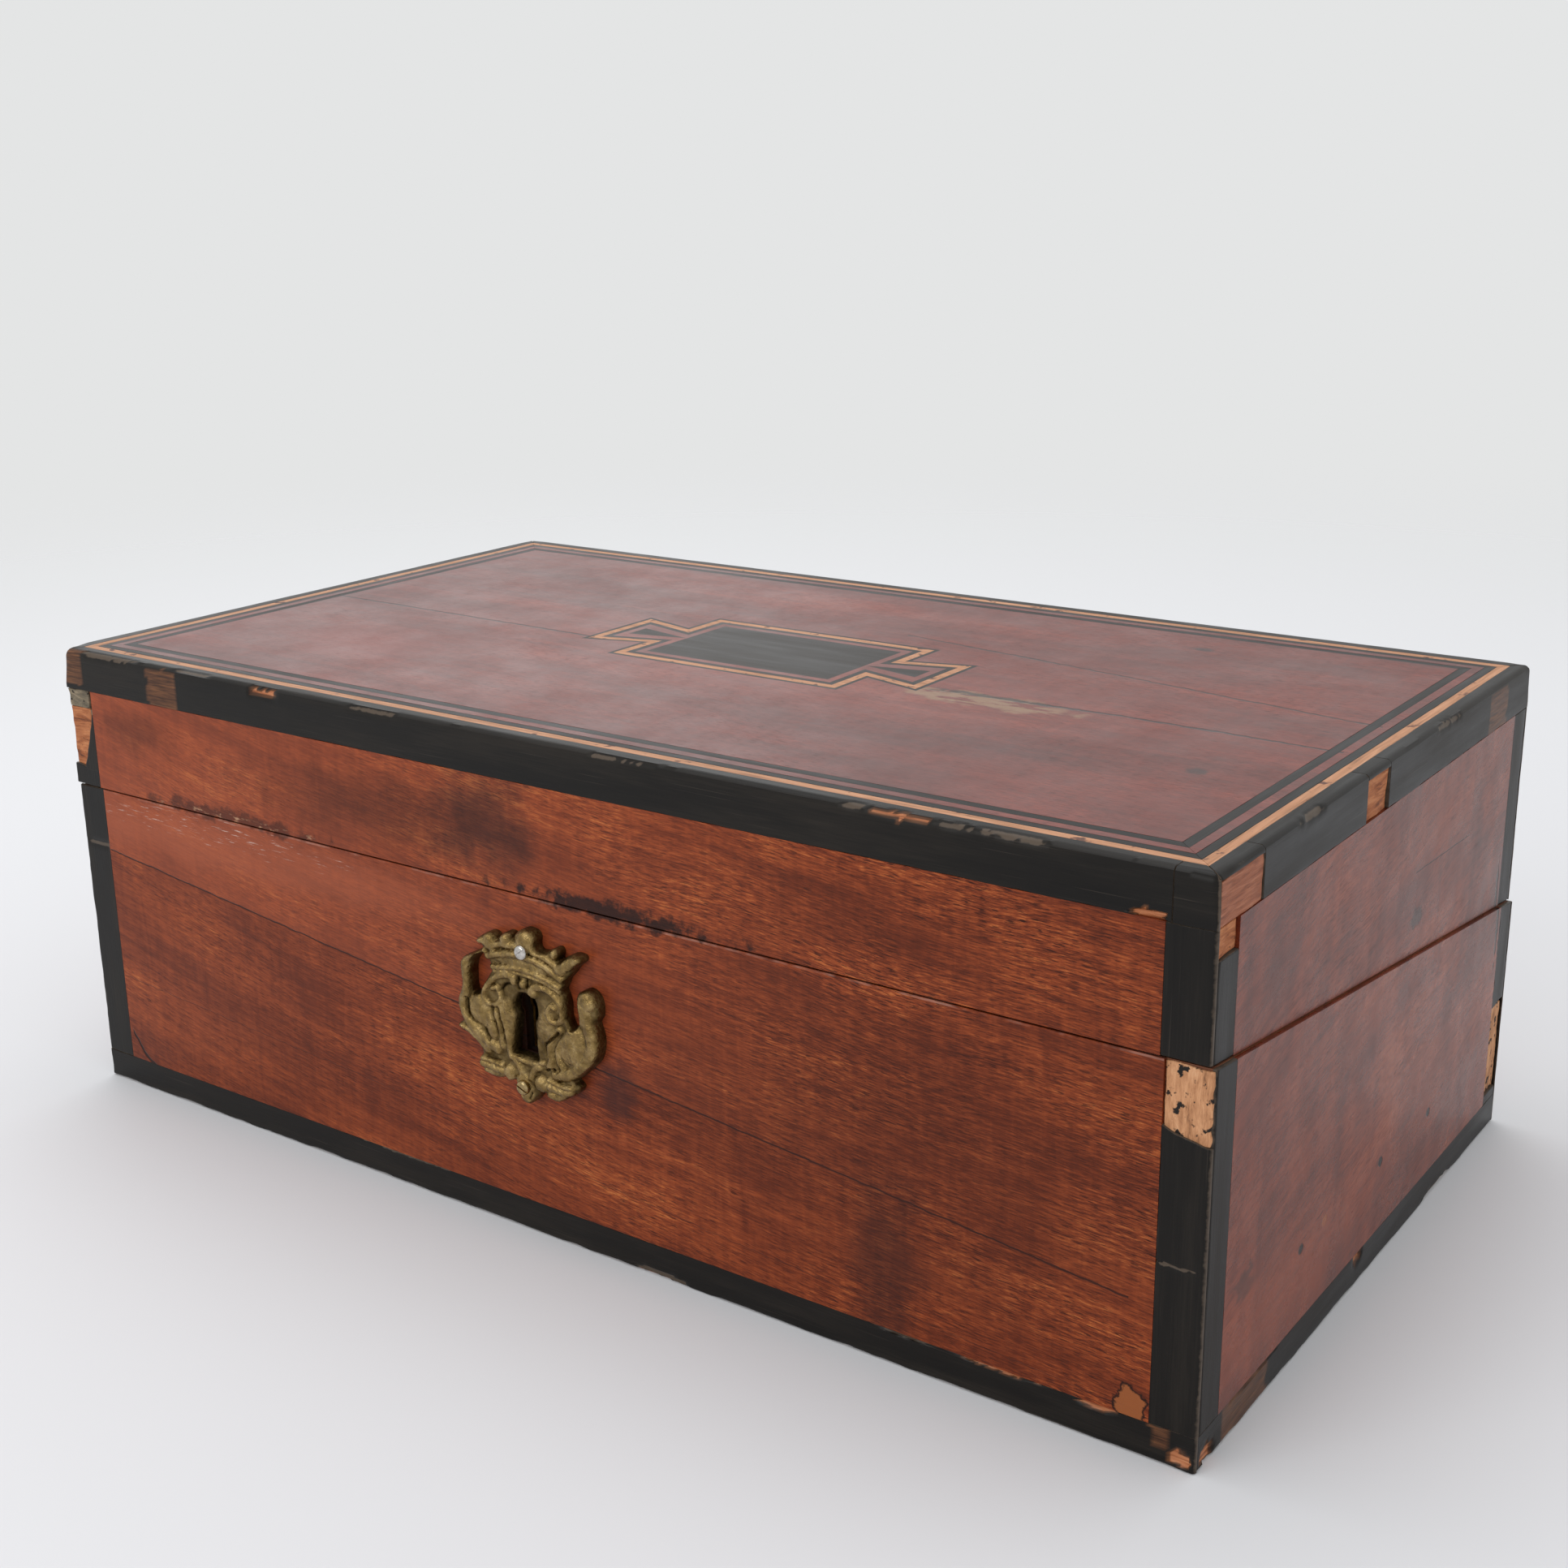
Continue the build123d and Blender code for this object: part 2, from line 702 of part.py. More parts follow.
def writing_board(side):
    """A flap with the recess for its leather."""
    length = flap_rear_v - flap_front_v[side]
    middle = (flap_rear_v + flap_front_v[side]) / 2
    with Locations(face_spot(side, shift[side], middle, -flap_sink)):
        Box(flap_w, length, flap_t, align=down)
        Box(
            flap_w - 2 * flap_border,
            length - 2 * flap_border,
            leather_t,
            align=down,
            mode=Mode.SUBTRACT,
        )
    cut_flap_hinge(side, -flap_leaf_w)


def ledger(side, front_y, end):
    """A strip on a side wall, under the flap, from a given Y back to the hinge rail."""
    across(
        [
            section_at(side, front_y, flap_depth + rest_gap),
            section_point(side, flap_axis_v, flap_depth + rest_gap),
            section_point(side, flap_axis_v, flap_depth + rest_gap + ledger_h),
            section_at(side, front_y, flap_depth + rest_gap + ledger_h),
        ],
        ledger_w,
        shift[side] + end * (inner_w - ledger_w) / 2,
    )


for side, half in halves.items():
    with BuildPart() as rail:
        across(
            [
                section_point(side, flap_axis_v + rail_gap, flap_sink),
                section_at(side, inner_back, flap_sink),
                section_at(side, inner_back, flap_sink + rail_h),
                section_point(side, flap_axis_v + rail_gap, flap_sink + rail_h),
            ],
            inner_w,
            shift[side],
        )
        cut_flap_hinge(side, flap_leaf_w)
    save(rail, f"{half}_hinge_rail")

    with BuildPart() as leather:
        length = flap_rear_v - flap_front_v[side] - 2 * flap_border
        with Locations(face_spot(side, shift[side], (flap_rear_v + flap_front_v[side]) / 2, -flap_sink)):
            Box(flap_w - 2 * flap_border, length, leather_t, align=down)
    save(leather, f"{half}_flap_leather")

    with BuildPart() as rail_leaves:
        flap_leaves(side, flap_leaf_w, (-1, 1))
    save(rail_leaves, f"{half}_rail_leaves")

    with BuildPart() as board_leaves:
        flap_leaves(side, -flap_leaf_w, (0,))
    save(board_leaves, f"{half}_flap_leaves")

with BuildPart() as base_flap:
    writing_board(BASE)
save(base_flap, "base_flap")

with BuildPart() as lid_flap:
    writing_board(LID)
    with Locations(face_spot(LID, catch_x, flap_front_v[LID] + catch_plate_len / 2, -flap_sink)):
        Box(catch_plate_w, catch_plate_len, catch_plate_t, align=down, mode=Mode.SUBTRACT)
    groove_len = catch_back + catch_len + catch_gap
    with Locations(face_spot(LID, catch_x, flap_front_v[LID] + groove_len / 2, -flap_sink)):
        Box(
            catch_w + 2 * catch_gap,
            groove_len,
            catch_plate_t + catch_t + 2 * catch_gap,
            align=down,
            mode=Mode.SUBTRACT,
        )
save(lid_flap, "lid_flap")

stud_v = catch_tip_v + catch_len - 2 * stud_r
with BuildPart() as catch_plate:
    with Locations(face_spot(LID, catch_x, flap_front_v[LID] + catch_plate_len / 2, -flap_sink)):
        Box(catch_plate_w, catch_plate_len, catch_plate_t, align=down)
    with Locations(face_spot(LID, catch_x, stud_v - catch_travel / 2, -flap_sink)):
        Box(
            2 * (stud_r + catch_gap),
            catch_travel + 2 * (stud_r + catch_gap),
            2 * catch_plate_t,
            mode=Mode.SUBTRACT,
        )
save(catch_plate, "flap_bolt_plate")

with BuildPart() as flap_bolt:
    with Locations(face_spot(LID, catch_x, catch_tip_v + catch_len / 2, -catch_depth)):
        Box(catch_w, catch_len, catch_t, align=down)
    with Locations(face_spot(LID, catch_x, stud_v, -catch_depth)):
        Cylinder(stud_r, catch_depth - flap_sink + stud_rise, align=up)
save(flap_bolt, "flap_bolt")

with BuildPart() as base_ledgers:
    for end in (-1, 1):
        ledger(BASE, partition_front + partition_t, end)
save(base_ledgers, "base_ledgers")

with BuildPart() as lid_ledgers:
    for end in (-1, 1):
        ledger(LID, inner_front + ledger_w + glue_gap, end)
    across(
        [
            section_at(LID, inner_front, flap_depth + rest_gap),
            section_at(LID, inner_front + ledger_w, flap_depth + rest_gap),
            section_at(LID, inner_front + ledger_w, flap_depth + rest_gap + ledger_h),
            section_at(LID, inner_front, flap_depth + rest_gap + ledger_h),
        ],
        inner_w,
        lid_shift,
    )
save(lid_ledgers, "lid_ledgers")

# ---- Pen space ----

partition_back = partition_front + partition_t
tray_len = inner_w - 2 * (well_w + divider_t + tray_gap)
tray_front = lock_back + tray_gap
tray_back = partition_front - tray_gap
tray_top = divider_top
well_x = (inner_w - well_w) / 2
well_y = inner_front + pen_d / 2

with BuildPart() as partition:
    across(
        [
            (partition_front, bottom_t),
            (partition_back, bottom_t),
            section_at(BASE, partition_back, flap_depth + rest_gap),
            section_at(BASE, partition_front, flap_depth + rest_gap),
        ],
        inner_w,
        0,
    )
save(partition, "partition")

with BuildPart() as dividers:
    for end in (-1, 1):
        divider_x = end * (inner_w / 2 - well_w - divider_t / 2)
        bearer_x = end * (inner_w / 2 - well_w - divider_t - bearer_w / 2)
        span_box(
            (divider_x - divider_t / 2, divider_x + divider_t / 2),
            (inner_front, partition_front),
            (bottom_t, divider_top),
        )
        span_box(
            (bearer_x - bearer_w / 2, bearer_x + bearer_w / 2),
            (inner_front, partition_front),
            (tray_top - tray_h - bearer_h, tray_top - tray_h),
        )
save(dividers, "dividers")

with BuildPart() as well_blocks:
    with Locations((-well_x, well_y, bottom_t), (well_x, well_y, bottom_t)):
        Box(well_w - well_gap, pen_d - well_gap, well_block_h, align=up)
save(well_blocks, "well_blocks")

with BuildPart() as pen_tray:
    span_box((-tray_len / 2, tray_len / 2), (tray_front, tray_back), (tray_top - tray_h, tray_top))
    scoop_z = tray_top + scoop_r - scoop_depth
    with Locations(Location((0, (tray_front + tray_back) / 2, scoop_z), (0, 90, 0))):
        Cylinder(scoop_r, tray_len - 2 * tray_wall, mode=Mode.SUBTRACT)
save(pen_tray, "pen_tray")

bottle_low = bottom_t + well_block_h
shoulder_z = bottle_low + bottle_h
for end, hand in ((-1, "left"), (1, "right")):
    with BuildPart() as inkwell:
        with BuildSketch(Plane.XY.offset(bottle_low)):
            with Locations((end * well_x, well_y)):
                RectangleRounded(bottle_w, bottle_w, bottle_corner_r)
        extrude(amount=bottle_h)
        fillet(inkwell.faces().sort_by(Axis.Z)[-1].edges(), bottle_corner_r / 2)
        with Locations((end * well_x, well_y, shoulder_z)):
            Cylinder(neck_r, neck_h, align=up)
        with Locations((end * well_x, well_y, shoulder_z + neck_h)):
            Cylinder(ink_r, ink_depth, align=down, mode=Mode.SUBTRACT)
    save(inkwell, f"inkwell_{hand}")

    with BuildPart() as cap:
        with Locations((end * well_x, well_y, shoulder_z)):
            Cylinder(neck_r + cap_wall, neck_h + cap_top_t, align=up)
        fillet(cap.faces().sort_by(Axis.Z)[-1].edges(), cap_round)
        with Locations((end * well_x, well_y, shoulder_z)):
            Cylinder(neck_r + pin_fit, neck_h + pin_fit, align=up, mode=Mode.SUBTRACT)
    save(cap, f"inkwell_cap_{hand}")

# ---- Veneer and ebony bands on the outside ----

band_low = core_top - edge_band_h
far_x = box_w / 2
far_y = box_d / 2


def face_veneer(side, facing):
    """Mahogany on the front (facing -1) or the back, between the corner strips and the bands."""
    span_box(
        (shift[side] - far_x + post_w, shift[side] + far_x - post_w),
        sorted((facing * far_y, facing * (far_y - veneer_t))),
        (foot_h, band_low),
    )
    keep_half(side)


def corner_strips(side):
    """Two ebony strips at each corner: one on the front or back, one on the side."""
    for end in (-1, 1):
        for facing in (-1, 1):
            span_box(
                sorted((shift[side] + end * far_x, shift[side] + end * (far_x - post_w))),
                sorted((facing * far_y, facing * (far_y - veneer_t))),
                (foot_h, band_low),
            )
            span_box(
                sorted((shift[side] + end * far_x, shift[side] + end * (far_x - veneer_t))),
                sorted((facing * (far_y - veneer_t - glue_gap), facing * (far_y - post_w))),
                (foot_h, band_low),
            )
    keep_half(side)


def band_round(side, z_span):
    """Four ebony bands round the box, the long ones covering the ends of the short ones."""
    for sign in (-1, 1):
        span_box(
            (shift[side] - far_x, shift[side] + far_x),
            sorted((sign * far_y, sign * (far_y - veneer_t))),
            z_span,
        )
        span_box(
            sorted((shift[side] + sign * far_x, shift[side] + sign * (far_x - veneer_t))),
            (veneer_t + glue_gap - far_y, far_y - veneer_t - glue_gap),
            z_span,
        )


for side, half in halves.items():
    with BuildPart() as front_veneer:
        face_veneer(side, -1)
        if side == BASE:
            cut_wood_keyhole(-far_y, veneer_t)
            round_head_holes()
    save(front_veneer, f"{half}_front_veneer")

    with BuildPart() as back_veneer:
        face_veneer(side, 1)
        cut_hinge_pockets(side)
    save(back_veneer, f"{half}_back_veneer")

    with BuildPart() as side_veneers:
        for end in (-1, 1):
            span_box(
                sorted((shift[side] + end * far_x, shift[side] + end * (far_x - veneer_t))),
                (post_w - far_y, far_y - post_w),
                (foot_h, band_low),
            )
        keep_half(side)
    save(side_veneers, f"{half}_side_veneers")

with BuildPart() as base_corner_strips:
    corner_strips(BASE)
    span_box((far_x - post_w, far_x), (-far_y, veneer_t - far_y), (right_strip_loss_low, box_h), Mode.SUBTRACT)
    span_box(
        (far_x - veneer_t, far_x),
        (far_y - post_w, far_y - veneer_t - glue_gap),
        (rear_loss_low, rear_loss_top),
        Mode.SUBTRACT,
    )
save(base_corner_strips, "base_corner_strips")

with BuildPart() as lid_corner_strips:
    corner_strips(LID)
    span_box(
        (lid_shift - far_x, lid_shift - far_x + post_w),
        (-far_y, veneer_t - far_y),
        (left_strip_loss_low, left_strip_loss_top),
        Mode.SUBTRACT,
    )
    span_box(
        (lid_shift + far_x - veneer_t, lid_shift + far_x),
        (veneer_t - far_y, post_w - far_y),
        (side_strip_loss_low, box_h),
        Mode.SUBTRACT,
    )
save(lid_corner_strips, "lid_corner_strips")

with BuildPart() as foot_bands:
    band_round(BASE, (foot_lift, foot_h))
save(foot_bands, "foot_bands")

with BuildPart() as edge_bands:
    band_round(LID, (band_low, core_top))
    for low, high in ((veneer_t, band_loss_len), (band_notch_at, band_notch_at + band_notch_len)):
        span_box(
            (lid_shift + far_x - veneer_t, lid_shift + far_x),
            (low - far_y, high - far_y),
            (band_low, box_h),
            Mode.SUBTRACT,
        )
save(edge_bands, "lid_edge_bands")

# ---- The top: stringing, field and cartouche ----


def mitred_frame(inset, width):
    """Four strips with mitred ends round the top, a little apart at the mitres."""
    half_w, half_d = far_x - inset, far_y - inset
    gap = glue_gap
    with BuildSketch(Plane.XY.offset(core_top)) as strips:
        with Locations((lid_shift, 0)):
            for sign in (-1, 1):
                for long, deep, turned in ((half_w, half_d, False), (half_d, half_w, True)):
                    corners = [
                        (-(long - gap), sign * deep),
                        (long - gap, sign * deep),
                        (long - width - gap, sign * (deep - width)),
                        (-(long - width - gap), sign * (deep - width)),
                    ]
                    if turned:
                        corners = [(y, x) for x, y in corners]
                    Polygon(*corners, align=None)
    extrude(strips.sketch, amount=veneer_t)


boxwood_in = edge_ebony_w
middle_ebony_in = boxwood_in + boxwood_w
mahogany_in = middle_ebony_in + middle_ebony_w
inner_ebony_in = mahogany_in + mahogany_w
field_in = inner_ebony_in + inner_ebony_w


def on_top_rim(edge):
    """True for the outer edges of the top face."""
    spot = edge.center()
    out = max(abs(spot.X - lid_shift) - far_x, abs(spot.Y) - far_y)
    return spot.Z > box_h - glue_gap and out > -glue_gap


with BuildPart() as top_ebony_stringing:
    mitred_frame(0, edge_ebony_w)
    fillet(top_ebony_stringing.edges().filter_by(on_top_rim), arris_r)
    mitred_frame(middle_ebony_in, middle_ebony_w)
    mitred_frame(inner_ebony_in, inner_ebony_w)
save(top_ebony_stringing, "top_ebony_stringing")

with BuildPart() as top_boxwood_stringing:
    mitred_frame(boxwood_in, boxwood_w)
save(top_boxwood_stringing, "top_boxwood_stringing")

right_corners = [
    (cartouche_w / 2, -cartouche_d / 2),
    (cartouche_w / 2, -ear_neck_d / 2),
    (ear_reach, -ear_end_d / 2),
    (ear_reach, ear_end_d / 2),
    (cartouche_w / 2, ear_neck_d / 2),
    (cartouche_w / 2, cartouche_d / 2),
]
outline = [Vector(x, y) for x, y in right_corners] + [Vector(-x, -y) for x, y in right_corners]


def cartouche_shape(distance, mode=Mode.ADD):
    """The cartouche outline moved outwards by a distance, in the current sketch."""
    moved = []
    for before, here, after in zip(outline[-1:] + outline[:-1], outline, outline[1:] + outline[:1]):
        out_before = (here - before).normalized().rotate(Axis.Z, -90)
        out_after = (after - here).normalized().rotate(Axis.Z, -90)
        shared = 1 + out_before.dot(out_after)
        moved.append(here + (out_before + out_after) * (distance / shared))
    with Locations((cartouche_x, cartouche_y)):
        Polygon(*moved, align=None, mode=mode)


def line_round(outer, inner):
    """A line of even width that follows the cartouche outline, on the top."""
    with BuildSketch(Plane.XY.offset(core_top)) as line:
        cartouche_shape(outer)
        cartouche_shape(inner, Mode.SUBTRACT)
    extrude(line.sketch, amount=veneer_t)


inner_line_at = -line_boxwood_w
ground_at = inner_line_at - line_inner_w
panel_inset = line_boxwood_w + line_inner_w + ground_w
panel_x = cartouche_w / 2 - panel_inset
ear_panel_x = ear_reach - panel_inset


def ebony_panel(mode=Mode.ADD):
    """The ebony rectangle of the cartouche and the triangles in its ears, in the current sketch."""
    with Locations((cartouche_x, cartouche_y)):
        Rectangle(2 * panel_x, cartouche_d - 2 * panel_inset, mode=mode)
        for end in (-1, 1):
            Polygon(
                (end * (panel_x + glue_gap), 0),
                (end * ear_panel_x, ear_panel_d / 2),
                (end * ear_panel_x, -ear_panel_d / 2),
                align=None,
                mode=mode,
            )


with BuildPart() as cartouche_ebony:
    line_round(line_ebony_w, 0)
    line_round(inner_line_at, ground_at)
save(cartouche_ebony, "cartouche_ebony_lines")

with BuildPart() as cartouche_boxwood:
    line_round(0, inner_line_at)
save(cartouche_boxwood, "cartouche_boxwood_line")

with BuildPart() as cartouche_panel:
    with BuildSketch(Plane.XY.offset(core_top)):
        ebony_panel()
    extrude(amount=veneer_t)
save(cartouche_panel, "cartouche_panel")

with BuildPart() as field_veneer:
    mitred_frame(mahogany_in, mahogany_w)
    with BuildSketch(Plane.XY.offset(core_top)) as field:
        with Locations((lid_shift, 0)):
            Rectangle(box_w - 2 * field_in, box_d - 2 * field_in)
        cartouche_shape(line_ebony_w, Mode.SUBTRACT)
        cartouche_shape(ground_at)
        ebony_panel(Mode.SUBTRACT)
    extrude(field.sketch, amount=veneer_t)
save(field_veneer, "top_field_veneer")
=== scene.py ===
# Writing slope: a mahogany veneered box with ebony edges, boxwood lines and a cast brass escutcheon.
# All lengths in the settings are millimetres; the meshes are in metres in the frame of the model.
import math

import bpy
import numpy as np
from mathutils import Matrix, Vector


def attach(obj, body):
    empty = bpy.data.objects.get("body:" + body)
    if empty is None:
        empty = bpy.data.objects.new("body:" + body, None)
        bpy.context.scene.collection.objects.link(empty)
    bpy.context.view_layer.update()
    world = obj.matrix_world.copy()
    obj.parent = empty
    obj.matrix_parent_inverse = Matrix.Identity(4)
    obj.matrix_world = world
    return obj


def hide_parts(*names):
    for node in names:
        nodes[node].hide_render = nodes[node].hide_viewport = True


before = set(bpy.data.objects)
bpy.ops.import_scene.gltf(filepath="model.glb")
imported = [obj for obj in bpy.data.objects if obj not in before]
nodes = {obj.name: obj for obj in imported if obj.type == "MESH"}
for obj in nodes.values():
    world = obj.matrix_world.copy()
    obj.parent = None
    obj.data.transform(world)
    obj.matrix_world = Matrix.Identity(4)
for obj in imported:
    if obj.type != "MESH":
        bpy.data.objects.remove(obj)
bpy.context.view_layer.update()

mm = 0.001
halfWidth, halfDepth, height = 203.0, 114.5, 152.0
lidShift = -1.2
veneer = 1.2
postWidth = 12.5
footTop, footLow = 10.0, 0.3
bandLow = 138.8
hingeY, hingeZ, rimSlope = 115.1, 76.0, 0.13066
sawGap = 0.3
keyholeX, keyholeZ = -3.2, 73.3


def rimHeight(y):
    # height of the sloping saw cut at a distance y from the middle
    return hingeZ + (hingeY - np.asarray(y, float)) * rimSlope


grainStep = 37.0  # mm between the grain of one piece and the next
noiseTable = np.random.default_rng(11).uniform(-1, 1, (16, 64, 64))


def softNoise(a, b, grit, seed=0):
    # value noise: random heights on a lattice of grit mm, blended with a smooth step in both ways
    a, b = np.broadcast_arrays(np.asarray(a, float) / grit + 31.7, np.asarray(b, float) / grit + 17.3)
    table = noiseTable[seed % 16]
    low, left = np.floor(a).astype(int), np.floor(b).astype(int)
    s, t = a - low, b - left
    s, t = s * s * (3 - 2 * s), t * t * (3 - 2 * t)
    turn = 7 * (seed // 16)
    row0, row1 = (low + turn) % 64, (low + 1 + turn) % 64
    col0, col1 = left % 64, (left + 1) % 64
    near = table[row0, col0] * (1 - s) + table[row1, col0] * s
    far = table[row0, col1] * (1 - s) + table[row1, col1] * s
    return near * (1 - t) + far * t


def smoothStep(x, low, high):
    t = np.clip((x - low) / (high - low), 0, 1)
    return t * t * (3 - 2 * t)


edgeRows = (0.0, 0.1, 0.25, 0.45, 0.7, 1.0, 1.4, 2.0)  # mm from a rounded edge


def rows(length, step):
    # fractions from 0 to 1: close together at both ends, where the edge is rounded
    fine = [d for d in edgeRows if d < 0.42 * length]
    inner = np.arange(fine[-1] + step, length - fine[-1] - 0.3 * step, step)
    return np.concatenate([fine, inner, length - np.array(fine[::-1])]) / length


def onWall(wall, shift=0.0):
    # gives u, v, h -> x, y, z, where h is how far a point lies behind the face
    def place(u, v, h):
        if wall == "front":
            return np.stack([u, -halfDepth + h, v], -1)
        if wall == "back":
            return np.stack([-u, halfDepth - h, v], -1)
        if wall == "right":
            return np.stack([shift + halfWidth - h, u, v], -1)
        if wall == "left":
            return np.stack([shift - halfWidth + h, -u, v], -1)
        return np.stack([u, v, height - h], -1)
    return place


def edgeAt(edge, where):
    # an edge is a number, or a function of the place along it
    return edge(where) if callable(edge) else edge


def sheetPart(points, grain, wear, patch):
    # closes a grid and its copy on the underside with walls along the rim, and keeps their values
    ids = np.arange(wear.size).reshape(wear.shape)
    quads = np.stack([ids[:-1, :-1], ids[1:, :-1], ids[1:, 1:], ids[:-1, 1:]], -1).reshape(-1, 4)
    ring = np.concatenate([ids[:, 0], ids[-1, 1:], ids[-2::-1, -1], ids[0, -2:0:-1]])
    after = np.roll(ring, -1)
    walls = np.stack([after, ring, ring + wear.size, after + wear.size], -1)
    return {
        "points": points,
        "quads": np.concatenate([quads, quads[:, ::-1] + wear.size, walls]),
        "grain": np.tile(np.stack(grain, -1).reshape(-1, 3), (2, 1)),
        "wear": np.tile(wear.ravel(), 2),
        "patch": np.tile(patch.ravel(), 2),
    }


worn = {"bared": 0.7, "edgeReach": 1.3, "chipWear": 1.4, "longWave": 11.0, "shortWave": 2.7, "chipEdge": 0.9,
        "dentWave": 9.0, "fineWave": 1.6, "endWave": 2.3, "sideWave": 6.0}  # mm, but for the chips' wear


def slab(place, u0, u1, v0, v1, step=1.0, rounds=(0, 0, 0, 0), ragged=(0, 0, 0, 0), chips=(),
         thick=veneer, seed=0, sink=0.0, dents=0.03, patches=(), grainAlong="u", rubbed=None):
    # A thin piece of wood on a face. Its outline runs between u0, u1 (functions of v) and v0, v1
    # (functions of u); the edges are worn round by rounds and wander by ragged, in that order.
    # A chip (u, v, width, height, depth) digs an ellipse, and one deeper than 0.7 mm bares the ground; a
    # patch (u0, u1, v0, v1) is another wood; rubbed (v, width, amount) is a line worn along the piece, whose
    # lighter colour on the ebony arris is also a painted highlight.
    uMid0, uMid1, vMid0, vMid1 = (float(np.mean(edgeAt(edge, 0.0))) for edge in (u0, u1, v0, v1))
    s = rows(uMid1 - uMid0, step)[:, None]
    t = rows(vMid1 - vMid0, step)[None, :]
    flatV = vMid0 + (vMid1 - vMid0) * t
    lowU = edgeAt(u0, flatV) + ragged[0] * softNoise(flatV, seed, worn["endWave"], seed + 1)
    highU = edgeAt(u1, flatV) + ragged[1] * softNoise(flatV, seed, worn["endWave"], seed + 2)
    u = lowU + (highU - lowU) * s
    lowV = edgeAt(v0, u) + ragged[2] * softNoise(u, seed, worn["sideWave"], seed + 3)
    highV = edgeAt(v1, u) + ragged[3] * softNoise(u, seed, worn["sideWave"], seed + 4)
    v = lowV + (highV - lowV) * t
    h = sink + dents * (softNoise(u, v, worn["dentWave"], seed + 5)
                        + 0.3 * softNoise(u, v, worn["fineWave"], seed + 6))
    wear = np.zeros_like(h)
    bare = np.zeros_like(h)
    # worn line, which on the ebony arris is also a painted highlight
    if rubbed:
        at, spread, amount = rubbed
        wear = amount * np.exp(-((v - at) / spread) ** 2) * (1 + 0.7 * softNoise(u, v, 7.0, seed + 12))
    edges = (u - lowU, highU - u, v - lowV, highV - v)
    for k, (gap, radius) in enumerate(zip(edges, rounds)):
        if radius:
            along = v if k < 2 else u
            r = radius * (1 + 0.35 * softNoise(along, seed, worn["longWave"], seed + 7 + k)
                          + 0.25 * softNoise(along, seed, worn["shortWave"], seed + 8 + k))
            short = np.clip(r - gap, 0, r)
            drop = r - np.sqrt(np.clip(r * r - short * short, 0, None))
            h = h + drop
            wear = np.maximum(wear, np.clip(1 - gap / (worn["edgeReach"] * r), 0, 1))
    for cu, cv, ru, rv, deep in chips:
        reach = ((u - cu) / ru) ** 2 + ((v - cv) / rv) ** 2
        reach = reach + 0.5 * softNoise(u, v, worn["chipEdge"], seed + 9)
        dug = 1 - smoothStep(reach, 0.55, 1.0)
        h = h + deep * dug
        wear = np.maximum(wear, worn["chipWear"] * dug)
        if deep > worn["bared"]:
            bare = np.maximum(bare, dug)
    h = np.clip(h, -0.6, thick - 0.08)
    patch = np.zeros_like(h)
    for p0, p1, q0, q1 in patches:
        wave = 0.3 * softNoise(u, v, 1.7, seed + 11)
        inside = (u > p0 + wave) & (u < p1 + wave) & (v > q0 + wave) & (v < q1 + wave)
        patch = np.maximum(patch, inside.astype(float))
    patch = np.maximum(patch, 2 * smoothStep(bare, 0.4, 0.8))
    front = place(u, v, h).reshape(-1, 3)
    under = place(u, v, np.full_like(h, thick)).reshape(-1, 3)
    grain = (u, v) if grainAlong == "u" else (v, u)
    grain = (*grain, np.full_like(u, grainStep * seed))
    return sheetPart(np.concatenate([front, under]) * mm, grain, wear, patch)


def buildPiece(name, parts, material, body, replaces=(), sharp=40):
    # joins the parts into one mesh, gives it its worn, patch and grain values, names it, gives it its
    # material, hangs it on its body and hides the parts it replaces
    start, quads = 0, []
    for part in parts:
        quads.append(part["quads"] + start)
        start += len(part["points"])
    points = np.concatenate([part["points"] for part in parts])
    quads = np.concatenate(quads)
    mesh = bpy.data.meshes.new(name)
    mesh.vertices.add(len(points))
    mesh.vertices.foreach_set("co", points.astype(np.float32).ravel())
    mesh.loops.add(quads.size)
    mesh.loops.foreach_set("vertex_index", quads.astype(np.int32).ravel())
    mesh.polygons.add(len(quads))
    mesh.polygons.foreach_set("loop_start", np.arange(0, quads.size, quads.shape[1], dtype=np.int32))
    mesh.update(calc_edges=True)
    for key, kind in (("grain", "FLOAT_VECTOR"), ("wear", "FLOAT"), ("patch", "FLOAT")):
        if key in parts[0]:
            values = np.concatenate([part[key] for part in parts]).astype(np.float32)
            layer = mesh.attributes.new(key, kind, "POINT")
            layer.data.foreach_set("vector" if kind == "FLOAT_VECTOR" else "value", values.ravel())
    mesh.polygons.foreach_set("use_smooth", np.ones(len(quads), bool))
    mesh.set_sharp_from_angle(angle=math.radians(sharp))
    mesh.validate()
    piece = bpy.data.objects.new(name, mesh)
    bpy.context.scene.collection.objects.link(piece)
    piece.data.materials.append(material)
    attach(piece, body)
    if replaces:
        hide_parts(*replaces)
    return piece


def linear(hexColour):
    # sRGB hex to linear red, green, blue and alpha
    parts = [int(hexColour[k:k + 2], 16) / 255 for k in (1, 3, 5)]
    return tuple(c / 12.92 if c <= 0.04045 else ((c + 0.055) / 1.055) ** 2.4 for c in parts) + (1.0,)


